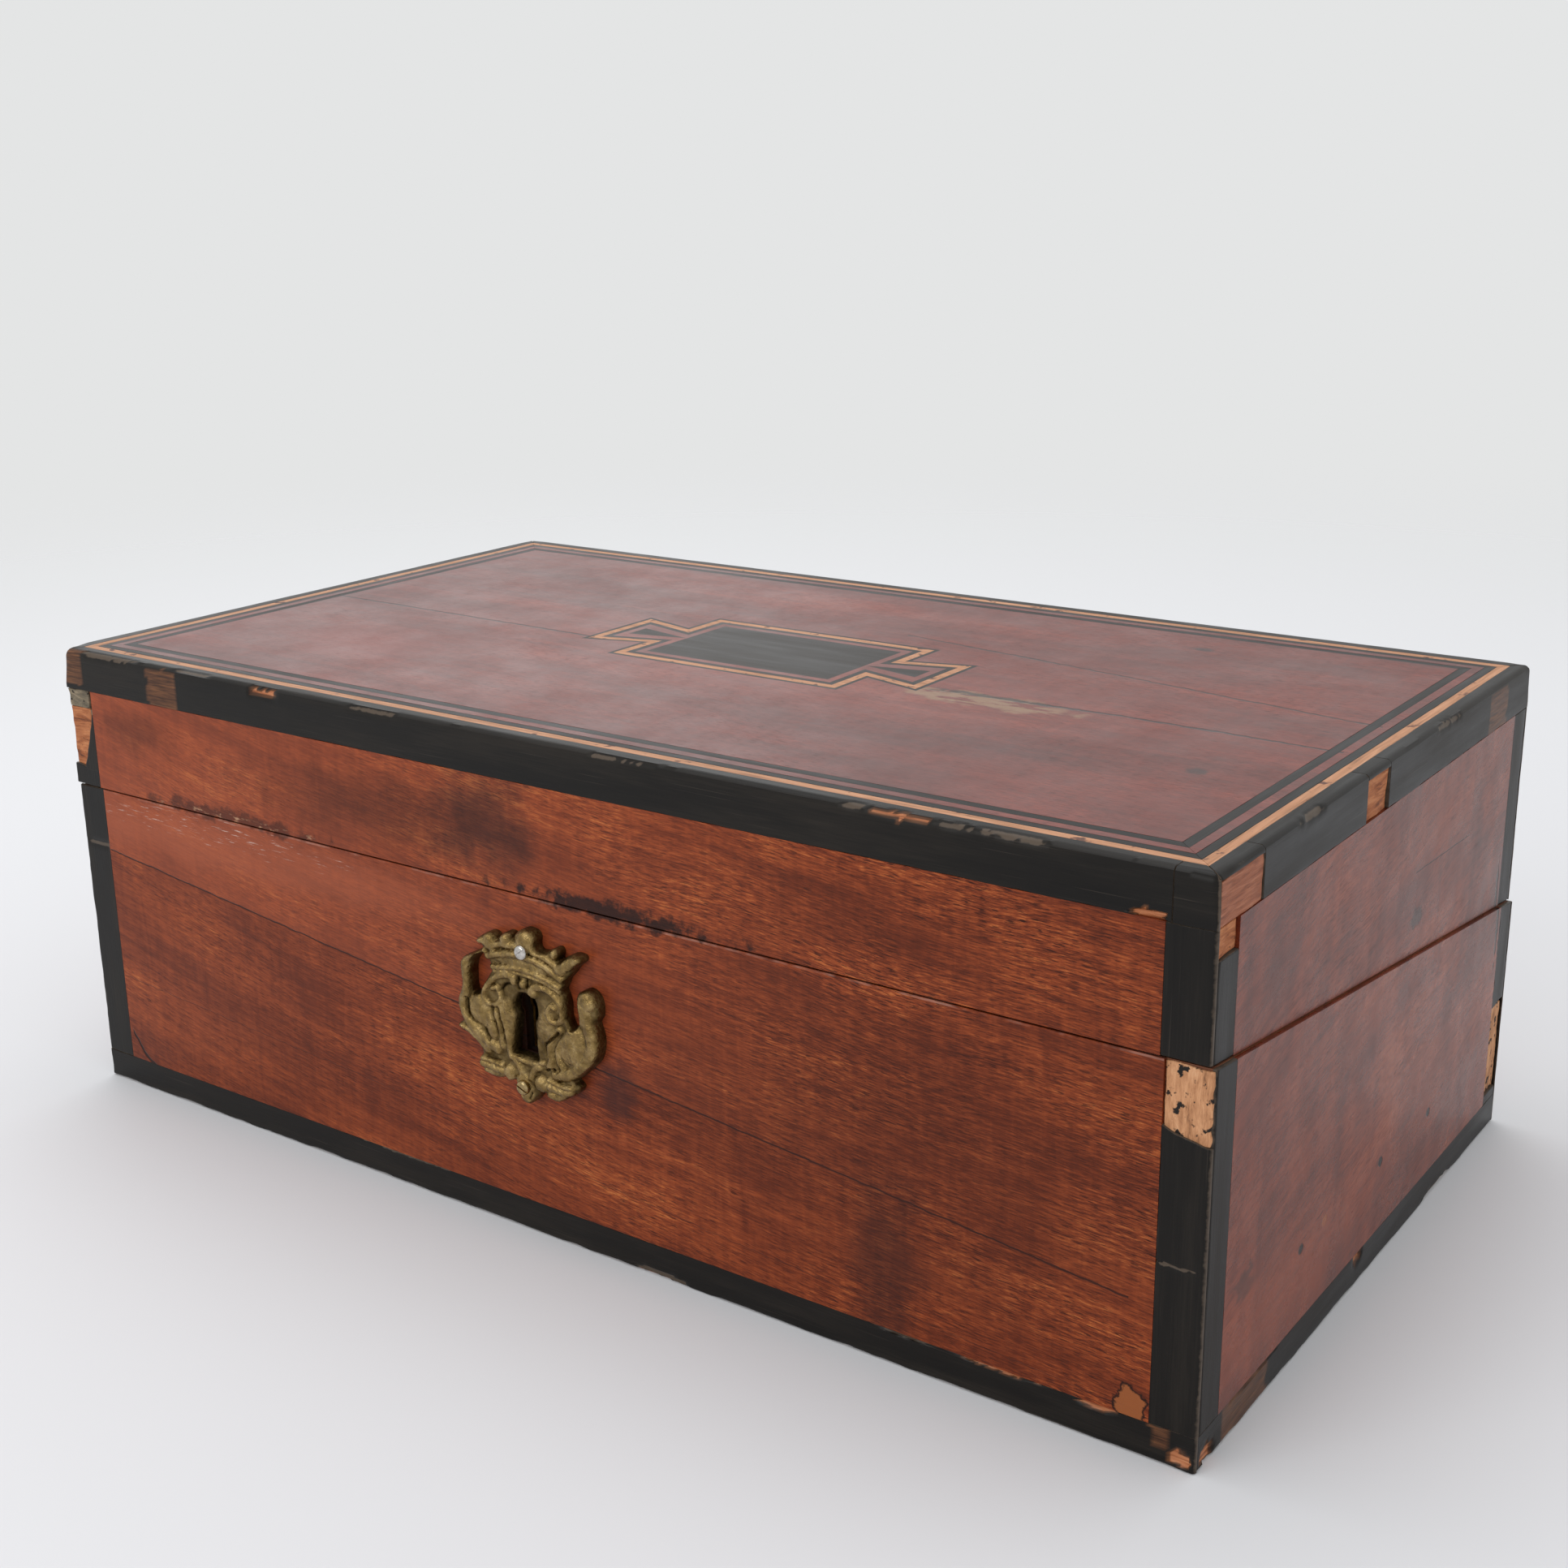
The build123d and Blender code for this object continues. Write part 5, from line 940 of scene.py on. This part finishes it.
escutcheon = {
    "grid": 0.34, "plate": 3.55, "edge": 0.8, "edgeThin": 0.24, "relief": 0.62, "cut": 1.2, "base": 2.5,
    "ridgeSpread": 1.25,
    "waves": ((0.18, 3.0, 3), (0.13, 1.9, 5), (0.06, 0.8, 6)),
    "outline": [
        (1.3, 24.0), (4.0, 23.5), (4.8, 21.8), (4.6, 19.8), (5.4, 18.4), (7.4, 18.5), (9.2, 18.9),
        (10.8, 20.2), (12.4, 20.6), (13.3, 19.4), (12.9, 17.5), (13.8, 17.0), (16.0, 19.0), (18.5, 20.1),
        (21.2, 19.9), (21.5, 18.4), (19.0, 16.2), (17.0, 13.6), (15.5, 12.0), (14.7, 10.2), (13.8, 8.4),
        (14.6, 6.6), (15.2, 4.0), (15.2, 1.0), (16.0, -1.4), (17.2, -2.6), (18.8, -1.4), (20.0, 0.6),
        (20.3, 2.8), (19.8, 5.2), (19.2, 7.2), (19.6, 8.8), (21.0, 9.9), (22.8, 10.5), (24.8, 9.9),
        (26.2, 8.4), (26.8, 6.0), (26.6, 3.0), (25.4, 1.0), (26.2, -1.0), (26.8, -4.2), (26.4, -7.6),
        (25.2, -10.6), (23.2, -12.8), (21.0, -15.0), (18.6, -17.2), (17.0, -18.4), (18.4, -19.6),
        (18.6, -20.6), (17.4, -22.2), (15.0, -23.8), (12.6, -25.4), (10.4, -26.4), (8.2, -26.2),
        (6.0, -24.9), (4.4, -24.4), (3.4, -24.6), (3.2, -26.0), (2.2, -27.6), (0.6, -29.2), (-0.8, -29.7),
        (-2.4, -28.7), (-3.8, -26.9), (-4.8, -25.0), (-4.8, -23.4), (-6.6, -23.9), (-8.8, -23.3),
        (-10.8, -24.1), (-14.0, -24.2), (-16.4, -23.6), (-17.6, -22.4), (-18.6, -21.2), (-18.6, -19.5),
        (-17.8, -18.2), (-18.0, -16.8), (-18.8, -15.4), (-20.2, -14.2), (-22.6, -13.3), (-25.0, -12.2),
        (-26.6, -11.1), (-25.6, -10.0), (-24.7, -8.8), (-25.6, -6.4), (-25.9, -4.0), (-25.5, -1.0),
        (-24.1, 1.4), (-23.8, 4.4), (-24.5, 6.0), (-24.1, 8.4), (-23.7, 10.2), (-22.0, 11.5), (-19.4, 12.9),
        (-17.0, 14.1), (-15.2, 14.9), (-16.2, 16.0), (-17.4, 17.3), (-16.2, 18.5), (-14.6, 19.6),
        (-12.8, 20.3), (-10.9, 19.9), (-9.8, 18.7), (-8.7, 19.6), (-7.6, 21.0), (-6.0, 21.7), (-4.5, 21.4),
        (-3.7, 20.2), (-3.1, 21.4), (-1.4, 23.1), (0.0, 23.8)],
    "opening": [(-14.8, 14.0), (-16.4, 13.3), (-18.2, 12.0), (-19.8, 10.2), (-20.6, 8.0), (-20.9, 4.0),
                (-20.7, 1.2), (-20.0, 0.2), (-18.3, 0.7), (-16.7, 1.7), (-15.3, 4.4), (-13.5, 7.5),
                (-12.1, 9.5), (-13.2, 11.8)],
    # a ridge: points, radius at its start and end, height of its crest
    "ridges": [
        ([(-13.8, 13.2), (-7, 15.3), (0.6, 16.0), (8, 14.8), (15.2, 11.8)], 0.95, 0.95, 4.3),
        ([(-11.6, 10.3), (-5, 11.4), (0.9, 11.8), (8, 11.0), (14.3, 9.1)], 0.75, 0.75, 4.1),
        ([(-11.0, 9.2), (-5, 10.1), (0.9, 10.4), (8, 9.7), (13.6, 8.0)], 0.5, 0.5, 3.8),
        ([(-13.2, 16.2), (-9.4, 17.6), (-5, 18.3), (-2, 18.6)], 0.9, 0.9, 4.0),
        ([(3.6, 18.2), (8, 17.4), (11.8, 16.0), (14, 14.6)], 0.9, 0.9, 4.0),
        ([(-11.8, 16.8), (-14.4, 17.6), (-16.9, 17.3)], 1.5, 0.8, 4.1),
        ([(13.6, 14.6), (16.4, 16.8), (20.6, 19.1)], 1.7, 1.1, 4.3),
        ([(-3.0, 8.9), (-6.4, 8.9), (-10.2, 7.6), (-13.4, 4.9), (-15.4, 1.8), (-14.8, -0.8), (-12.2, -1.5),
          (-9.8, -0.3), (-9.0, 2.0), (-10.2, 4.2), (-12.0, 3.6)], 0.9, 0.7, 4.1),
        ([(3.8, 7.3), (7.6, 7.9), (11.2, 6.7), (13.8, 4.0), (14.2, 1.0), (12.4, -1.3), (9.8, -1.0),
          (8.9, 1.1), (10.0, 3.2), (11.6, 2.9)], 1.0, 0.7, 4.2),
        ([(-15.2, 14.2), (-19.0, 12.4), (-22.2, 10.4), (-22.3, 6.0), (-22.4, 1.2), (-23.9, -3.0),
          (-23.0, -7.0), (-20.0, -10.4), (-15.6, -13.4), (-11.4, -14.8)], 1.1, 1.6, 4.2),
        ([(-26.2, -11.0), (-22.4, -11.9), (-18.6, -13.6), (-15.2, -16.0)], 0.6, 1.3, 3.7),
        ([(22.8, 7.6), (22.2, 4.0), (22.9, 0.4), (24.4, -3.0), (24.2, -7.6), (21.2, -12.2), (16.0, -16.2),
          (10.6, -18.0)], 2.2, 1.3, 4.3),
        ([(-9.6, -1.6), (-8.4, -4.6), (-7.4, -8.0), (-6.2, -12.6), (-5.8, -15.8)], 1.1, 1.3, 3.9),
        ([(-11.4, -3.0), (-10.4, -6.6), (-9.6, -10.0), (-9.2, -13.8)], 0.9, 0.8, 3.8),
        ([(12.8, -3.6), (9.8, -6.6), (8.6, -9.8), (9.4, -13.2), (8.6, -15.6)], 1.0, 1.1, 3.9),
        ([(15.2, -5.2), (12.6, -8.6), (12.0, -12.0), (13.2, -14.6)], 0.9, 1.0, 3.9),
        ([(-17.6, -19.2), (-13.0, -19.4), (-9.6, -19.6)], 0.7, 0.7, 4.5),
        ([(-17.8, -21.0), (-13.0, -21.2), (-9.4, -21.5)], 1.0, 1.0, 4.3),
        ([(-16.2, -22.9), (-12.8, -23.1), (-9.8, -22.9)], 0.9, 0.9, 3.8),
        ([(8.2, -19.9), (12.6, -20.6), (16.8, -20.4)], 0.7, 0.7, 4.5),
        ([(8.4, -22.0), (12.8, -22.4), (16.2, -22.0)], 1.1, 1.0, 4.3),
        ([(8.2, -24.4), (11.6, -24.8), (13.8, -23.9)], 1.0, 0.9, 3.9),
        ([(-4.6, -17.0), (-3.0, -18.6), (-2.0, -21.0)], 0.9, 0.9, 3.8),
        ([(4.8, -16.8), (2.4, -18.4), (1.2, -21.2)], 0.9, 0.9, 3.8),
        ([(-3.9, -15.8), (0.8, -16.6), (6.0, -15.2)], 0.7, 0.7, 3.6),
    ],
    # a boss: middle, half width, half height, turn in degrees, height of its crown
    "bosses": [
        (1.2, 20.6, 3.7, 3.6, 0, 4.7), (-6.1, 19.8, 2.1, 2.1, 0, 4.3), (-12.7, 18.4, 2.0, 1.9, 0, 4.2),
        (12.2, 18.9, 1.5, 1.7, 0, 4.1), (-3.7, 7.9, 1.2, 1.6, 0, 4.2), (-0.3, 7.4, 1.3, 1.5, 0, 4.4),
        (3.2, 5.7, 2.0, 1.9, 30, 4.1), (-17.4, -4.6, 4.4, 5.8, 14, 4.3), (-13.2, -7.6, 2.2, 5.2, 12, 4.2),
        (17.6, -7.6, 4.8, 6.6, -26, 4.4), (23.4, 7.2, 2.9, 2.7, 0, 4.7), (17.2, -3.0, 1.6, 1.2, 0, 4.2),
        (9.0, -12.2, 1.0, 1.2, 0, 4.3), (-7.0, -21.3, 2.3, 2.6, 0, 4.5), (5.0, -22.0, 2.6, 2.7, 0, 4.5),
        (-0.8, -26.0, 3.0, 3.6, 0, 4.2), (-1.6, -22.6, 3.0, 2.4, 0, 4.3), (-6.0, -6.0, 3.0, 8.4, 8, 3.4),
        (7.6, -4.0, 3.4, 6.0, -6, 3.4), (0.8, 13.5, 12.0, 2.2, 0, 3.3)],
    # a cut line: points, half width, depth
    "cuts": [
        ([(-11.8, -1.8), (-12.3, -4.6), (-10.9, -7.8), (-10.2, -10.6)], 0.35, 0.9),
        ([(-10.0, -1.8), (-9.4, -5.2), (-8.4, -8.4), (-7.8, -12.4)], 0.35, 1.1),
        ([(-22.3, -1.6), (-22.0, -5.4), (-19.4, -8.0), (-16.0, -9.6), (-14.2, -12.6)], 0.45, 1.0),
        ([(12.4, -4.4), (9.4, -7.4), (7.5, -9.2), (7.9, -12.4)], 0.35, 1.0),
        ([(7.0, -17.4), (9.4, -16.2), (11.4, -16.6), (12.4, -15.0)], 0.3, 0.7),
        ([(-9.2, 3.2), (-7.4, 5.6), (-5.4, 6.4)], 0.35, 0.6),
        ([(-2.2, 9.0), (-2.0, 5.6)], 0.35, 1.2), ([(1.2, 9.0), (1.4, 6.2)], 0.3, 1.0),
        ([(-3.4, -25.4), (-2.0, -27.2)], 0.3, 0.7), ([(1.2, -25.6), (0.4, -27.8)], 0.3, 0.7)],
    "keyhole": {"radius": 4.5, "neck": 3.3, "foot": 4.7, "drop": 15.0, "lean": 2.6},
}


def toPolyline(x, y, points, closed=False):
    # distance from every point of the grid to a line of straight runs, and how far along it lies
    points = np.array(points + points[:1] if closed else points, float)
    best = np.full(x.shape, 1e9)
    along = np.zeros(x.shape)
    lengths = np.hypot(*(points[1:] - points[:-1]).T)
    starts = np.concatenate([[0], np.cumsum(lengths)[:-1]])
    for a, b, length, start in zip(points[:-1], points[1:], lengths, starts):
        t = np.clip(((x - a[0]) * (b[0] - a[0]) + (y - a[1]) * (b[1] - a[1])) / length ** 2, 0, 1)
        gap = np.hypot(x - a[0] - t * (b[0] - a[0]), y - a[1] - t * (b[1] - a[1]))
        nearer = gap < best
        best = np.where(nearer, gap, best)
        along = np.where(nearer, (start + t * length) / lengths.sum(), along)
    return best, along


def signedDistance(x, y, points):
    # negative inside the closed outline: distance to its sides, with the sign from crossing count
    gap, _ = toPolyline(x, y, points, closed=True)
    ring = np.array(points + points[:1], float)
    inside = np.zeros(x.shape, bool)
    for (ax, ay), (bx, by) in zip(ring[:-1], ring[1:]):
        if ay != by:
            crosses = ((ay > y) != (by > y)) & (x < (bx - ax) * (y - ay) / (by - ay) + ax)
            inside ^= crosses
    return np.where(inside, -gap, gap)


def curveThrough(points, closed=False):
    # a smooth curve through the points, as a Catmull-Rom spline; the ends of an open one are doubled
    p = np.array(points if closed else [points[0]] + points + [points[-1]], float)
    count = 4 if closed else 6
    t = (np.arange(count) / count)[None, :, None]
    if closed:
        a, b, c, e = (np.roll(p, k, 0)[:, None, :] for k in (1, 0, -1, -2))
    else:
        a, b, c, e = (p[k:len(p) - 3 + k][:, None, :] for k in range(4))
    curve = 0.5 * (2 * b + (c - a) * t + (2 * a - 5 * b + 4 * c - e) * t ** 2
                   + (3 * b - a - 3 * c + e) * t ** 3)
    return [tuple(q) for q in curve.reshape(-1, 2)] + ([] if closed else [tuple(points[-1])])


def keyholeDistance(x, y, hole):
    lean = math.radians(hole["lean"])
    p, q = x * math.cos(lean) - y * math.sin(lean), x * math.sin(lean) + y * math.cos(lean)
    drop = hole["drop"]
    slot = [(-hole["neck"], -2.0), (hole["neck"], -2.0), (hole["foot"], -drop), (-hole["foot"], -drop)]
    return np.minimum(np.hypot(p, q) - hole["radius"], signedDistance(p, q, slot))


def castShape(x, y, form):
    # height of the casting over the box: plate, then the highest of ridges and bosses, less the cuts
    outer = signedDistance(x, y, curveThrough(form["outline"], True))
    opening = signedDistance(x, y, curveThrough(form["opening"], True))
    hole = np.minimum(keyholeDistance(x, y, form["keyhole"]), opening)
    outside = np.maximum(outer, -hole)
    wave = lambda high, long, seed: high * softNoise(x, y, long, seed)
    top = np.full(x.shape, form["plate"]) + wave(*form["waves"][0])
    swell = np.zeros(x.shape)
    for points, r0, r1, crest in form["ridges"]:
        gap, along = toPolyline(x, y, curveThrough(points))
        r = r0 + (r1 - r0) * along
        arch = np.sqrt(np.clip(1 - (gap / (form["ridgeSpread"] * r)) ** 2, 0, 1))
        swell = np.maximum(swell, (crest - form["base"]) * form["relief"] * arch)
    for cx, cy, rx, ry, turn, crest in form["bosses"]:
        c, s = math.cos(math.radians(turn)), math.sin(math.radians(turn))
        p, q = (x - cx) * c + (y - cy) * s, -(x - cx) * s + (y - cy) * c
        dome = np.sqrt(np.clip(1 - (p / rx) ** 2 - (q / ry) ** 2, 0, 1))
        swell = np.maximum(swell, (crest - form["base"]) * form["relief"] * dome)
    top = top + swell
    for points, half, deep in form["cuts"]:
        gap, _ = toPolyline(x, y, curveThrough(points))
        top = top - form["cut"] * deep * np.exp(-(gap / half) ** 2)
    edge = np.clip(-outside / form["edge"], 0, 1)
    top = top * (1 - form["edgeThin"] + form["edgeThin"] * np.sqrt(1 - (1 - edge) ** 2))
    top = top + wave(*form["waves"][1]) + wave(*form["waves"][2])
    return outside, np.clip(top, 0.5, 5.4)


def makeCasting(form):
    # keeps the grid squares inside the outline, draws their border onto it, and closes back and sides
    step = form["grid"]
    xs, ys = np.arange(-28.5, 28.5, step), np.arange(-32, 26.5, step)
    x, y = np.meshgrid(xs, ys, indexing="ij")
    outside, _ = castShape(x, y, form)
    quadIn = np.maximum.reduce([outside[:-1, :-1], outside[1:, :-1], outside[1:, 1:],
                                outside[:-1, 1:]]) < 0.4 * step
    ids = np.arange(x.size).reshape(x.shape)
    quads = np.stack([ids[:-1, :-1], ids[1:, :-1], ids[1:, 1:], ids[:-1, 1:]], -1)[quadIn]
    used, inverse = np.unique(quads, return_inverse=True)
    quads = inverse.reshape(-1, 4)
    px, py = x.ravel()[used], y.ravel()[used]
    sides = np.concatenate([quads[:, [k, (k + 1) % 4]] for k in range(4)])
    key = np.sort(sides, axis=1)
    order = key[:, 0] * len(used) + key[:, 1]
    _, first, count = np.unique(order, return_index=True, return_counts=True)
    border = sides[first[count == 1]]
    rim = np.unique(border)
    away = lambda a, b: castShape(a, b, form)[0]
    nudge = 0.05  # mm each way, for the slope of the distance to the outline
    for _ in range(5):
        ax, ay = px[rim], py[rim]
        gap = away(ax, ay)
        slopeX = (away(ax + nudge, ay) - away(ax - nudge, ay)) / (2 * nudge)
        slopeY = (away(ax, ay + nudge) - away(ax, ay - nudge)) / (2 * nudge)
        steep = np.maximum(slopeX ** 2 + slopeY ** 2, 0.3)
        move = np.clip(gap, -step, step) / steep
        px[rim] -= np.clip(slopeX * move, -0.5 * step, 0.5 * step)
        py[rim] -= np.clip(slopeY * move, -0.5 * step, 0.5 * step)
    top = castShape(px, py, form)[1]
    count = len(used)
    front = np.stack([keyholeX + px, -halfDepth - top, keyholeZ + py], -1)
    back = np.stack([keyholeX + px, np.full(count, -halfDepth), keyholeZ + py], -1)
    walls = np.stack([border[:, 1], border[:, 0], border[:, 0] + count, border[:, 1] + count], -1)
    raised = np.clip((top - 3.0) / 1.2, 0, 1)
    raised[rim] = np.maximum(0.6 * raised[rim], 0.45)
    return {
        "points": np.concatenate([front, back]) * mm,
        "quads": np.concatenate([quads, quads[:, ::-1] + count, walls]),
        "wear": np.concatenate([raised, 0.4 + 0 * raised]),
    }


buildPiece("escutcheon_casting", [makeCasting(escutcheon)], castBrass, "base", ("escutcheon",),
           sharp=55)

print("pieces: leather")


def leatherSheet(name, node, material, body, seed):
    # a skin in the recess of a flap: slightly cockled, with a double fillet pressed 6 and 8 mm in
    obj = nodes[node]
    co = np.empty(len(obj.data.vertices) * 3, np.float32)
    obj.data.vertices.foreach_get("co", co)
    co = co.reshape(-1, 3).astype(float)
    centre = (co.min(0) + co.max(0)) / 2
    spread = co - centre
    _, _, axes = np.linalg.svd(spread, full_matrices=False)
    along = np.array([1.0, 0, 0])
    n = axes[2] / np.linalg.norm(axes[2])
    outward = -1.0 if body.startswith("lid") else 1.0
    n = n * (outward if n[2] > 0 else -outward)
    up = np.cross(n, along)
    halfU = np.abs(spread @ along).max() / mm
    halfV = np.abs(spread @ up).max() / mm
    halfN = np.abs(spread @ n).max() / mm
    u = np.linspace(-halfU, halfU, 300)[:, None]
    v = np.linspace(-halfV, halfV, 150)[None, :]
    u, v = np.broadcast_arrays(u, v)
    inset = np.minimum(halfU - np.abs(u), halfV - np.abs(v))
    press = np.exp(-((inset - 8) / 0.55) ** 2) + 0.8 * np.exp(-((inset - 10.4) / 0.35) ** 2)
    h = halfN - 0.12 + 0.08 * softNoise(u, v, 26, seed) - 0.12 * press - 0.35 * np.exp(-inset / 0.5)
    rubbedAway = 1 - np.hypot(u / halfU, v / halfV) + 0.25 * softNoise(u, v, 22, seed + 1)
    rubbedAway = smoothStep(rubbedAway, 0.0, 0.7)
    flat = centre + mm * (u.reshape(-1, 1) * along + v.reshape(-1, 1) * up)
    points = np.concatenate([flat + mm * h.reshape(-1, 1) * n, flat - mm * halfN * n])
    part = sheetPart(points, (u, v, 0 * u), rubbedAway, np.clip(press, 0, 1))
    return buildPiece(name, [part], material, body, (node,), sharp=60)


leatherSheet("base_flap_skin", "base_flap_leather", leather, "base_flap", 5)
leatherSheet("lid_flap_skin", "lid_flap_leather", leather, "lid_flap", 7)

print("finishes")


def paint(material, *names):
    for name in names:
        mesh = nodes[name].data
        mesh.materials.clear()
        mesh.materials.append(material)


paint(frontMahogany, "base_front_veneer", "lid_front_veneer")
paint(backMahogany, "base_back_veneer", "lid_back_veneer")
paint(sideMahogany, "base_side_veneers", "lid_side_veneers")
paint(topMahogany, "top_field_veneer")
paint(inlayEbony, "cartouche_ebony_lines", "cartouche_panel")
paint(boxwoodInlay, "cartouche_boxwood_line")
paint(carcaseLong, "bottom_board", "lid_top_board", "base_back_board", "lid_front_board", "lid_back_board",
      "partition", "base_hinge_rail", "lid_hinge_rail", "base_flap", "lid_flap", "pen_tray")
paint(keyholeShadedBoard, "base_front_board")
paint(carcaseAcross, "base_left_board", "base_right_board", "lid_left_board", "lid_right_board", "dividers")
paint(oldPine, "base_ledgers", "lid_ledgers", "well_blocks")
paint(hingeBrass, "hinge_base_leaves", "hinge_lid_leaves", "hinge_pins", "link_plate", "base_rail_leaves",
      "lid_rail_leaves", "base_flap_leaves", "lid_flap_leaves", "flap_bolt", "flap_bolt_plate", "lock_case",
      "lock_bolt", "inkwell_cap_left", "inkwell_cap_right")
paint(escutcheonScrew, "escutcheon_screws")
paint(screwBrass, "hinge_base_screws", "hinge_lid_screws", "link_plate_screws", "lock_screws")
paint(glass, "inkwell_left", "inkwell_right")

print("studio")
studio = {"floor": "#dcdde0", "world": 0.85, "reach": 1.7}


def makeFloor():
    # a round pale floor that fades into the backdrop colour towards its rim
    count = 96
    angle = np.linspace(0, 2 * math.pi, count, endpoint=False)
    radii = np.array([0.0, 0.3, 0.6, 1.0, studio["reach"]])
    points = [(0, 0, 0)] + [(r * math.cos(a), r * math.sin(a), 0) for r in radii[1:] for a in angle]
    faces = [(0, 1 + k, 1 + (k + 1) % count) for k in range(count)]
    for ring in range(len(radii) - 2):
        a, b = 1 + ring * count, 1 + (ring + 1) * count
        faces += [(a + k, b + k, b + (k + 1) % count, a + (k + 1) % count) for k in range(count)]
    mesh = bpy.data.meshes.new("studio_floor")
    mesh.from_pydata(points, [], faces)
    floor = bpy.data.objects.new("studio_floor", mesh)
    bpy.context.scene.collection.objects.link(floor)
    material, tree, shader = startMaterial("pale_paper", {"Roughness": 0.75, "Specular IOR Level": 0.2})
    shader.inputs["Base Color"].default_value = linear(studio["floor"])
    coords = addNode(tree, "TexCoord", (), 3)
    far = addNode(tree, "VectorMath", (coords,), 1, operation="LENGTH")
    fade = addNode(tree, "MapRange", (far, 0.45, studio["reach"] - 0.1, 0.0, 1.0),
                   interpolation_type="SMOOTHSTEP")
    clear = addNode(tree, "BsdfTransparent")
    mixed = addNode(tree, "MixShader", (fade, shader.outputs[0], clear))
    output = [n for n in tree.nodes if n.type == "OUTPUT_MATERIAL"][0]
    tree.links.new(mixed, output.inputs[0])
    floor.data.materials.append(material)


makeFloor()
world = bpy.data.worlds.new("studio_air")
bpy.context.scene.world = world
world.use_nodes = True
tree = world.node_tree
tree.nodes.clear()
path = addNode(tree, "LightPath")
rays = path.node.outputs
seen = addNode(tree, "Math", (rays["Is Camera Ray"], rays["Is Glossy Ray"]), operation="MAXIMUM")
seen = addNode(tree, "Math", (seen, rays["Is Transmission Ray"]), operation="MAXIMUM")
shown = addNode(tree, "Background", ("#e4e5e5", 1.0))
lit = addNode(tree, "Background", ("#ffffff", studio["world"]))
mixed = addNode(tree, "MixShader", (seen, lit, shown))
output = tree.nodes.new("ShaderNodeOutputWorld")
tree.links.new(mixed, output.inputs[0])


def addLamp(name, place, target, size, power, colour="#ffffff"):
    lamp = bpy.data.lights.new(name, "AREA")
    lamp.shape, lamp.size, lamp.size_y = "RECTANGLE", size[0], size[1]
    lamp.energy = power
    lamp.color = linear(colour)[:3]
    holder = bpy.data.objects.new(name, lamp)
    holder.location = place
    holder.rotation_euler = (Vector(target) - Vector(place)).to_track_quat("-Z", "Y").to_euler()
    bpy.context.scene.collection.objects.link(holder)


addLamp("overhead_softbox", (-0.3, 0.2, 1.7), (0, 0, 0.05), (1.4, 1.2), 9.0)
addLamp("left_card", (-1.35, 1.1, 0.85), (0, 0, 0.15), (1.1, 0.55), 1.6)
addLamp("front_softbox", (-0.45, -1.7, 1.0), (0, 0, 0.08), (1.2, 1.0), 9.0)

camera = bpy.data.cameras.new("photo_view")
camera.lens = 47.47
camera.sensor_width = 36
turn, tilt, roll = (math.radians(a) for a in (-35.495, 17.028, -0.763))
forward = Vector((math.sin(turn) * math.cos(tilt), math.cos(turn) * math.cos(tilt), -math.sin(tilt)))
right = Vector((math.cos(turn), -math.sin(turn), 0))
upward = right.cross(forward)
rolledRight = right * math.cos(roll) + upward * math.sin(roll)
rolledUp = -right * math.sin(roll) + upward * math.cos(roll)
holder = bpy.data.objects.new("photo_view", camera)
matrix = Matrix((rolledRight, rolledUp, -forward)).transposed().to_4x4()
matrix.translation = (0.37103, -0.51527, 0.30434)
holder.matrix_world = matrix
bpy.context.scene.collection.objects.link(holder)
bpy.context.scene.camera = holder
bpy.context.scene.view_settings.view_transform = "Standard"

print("ready")
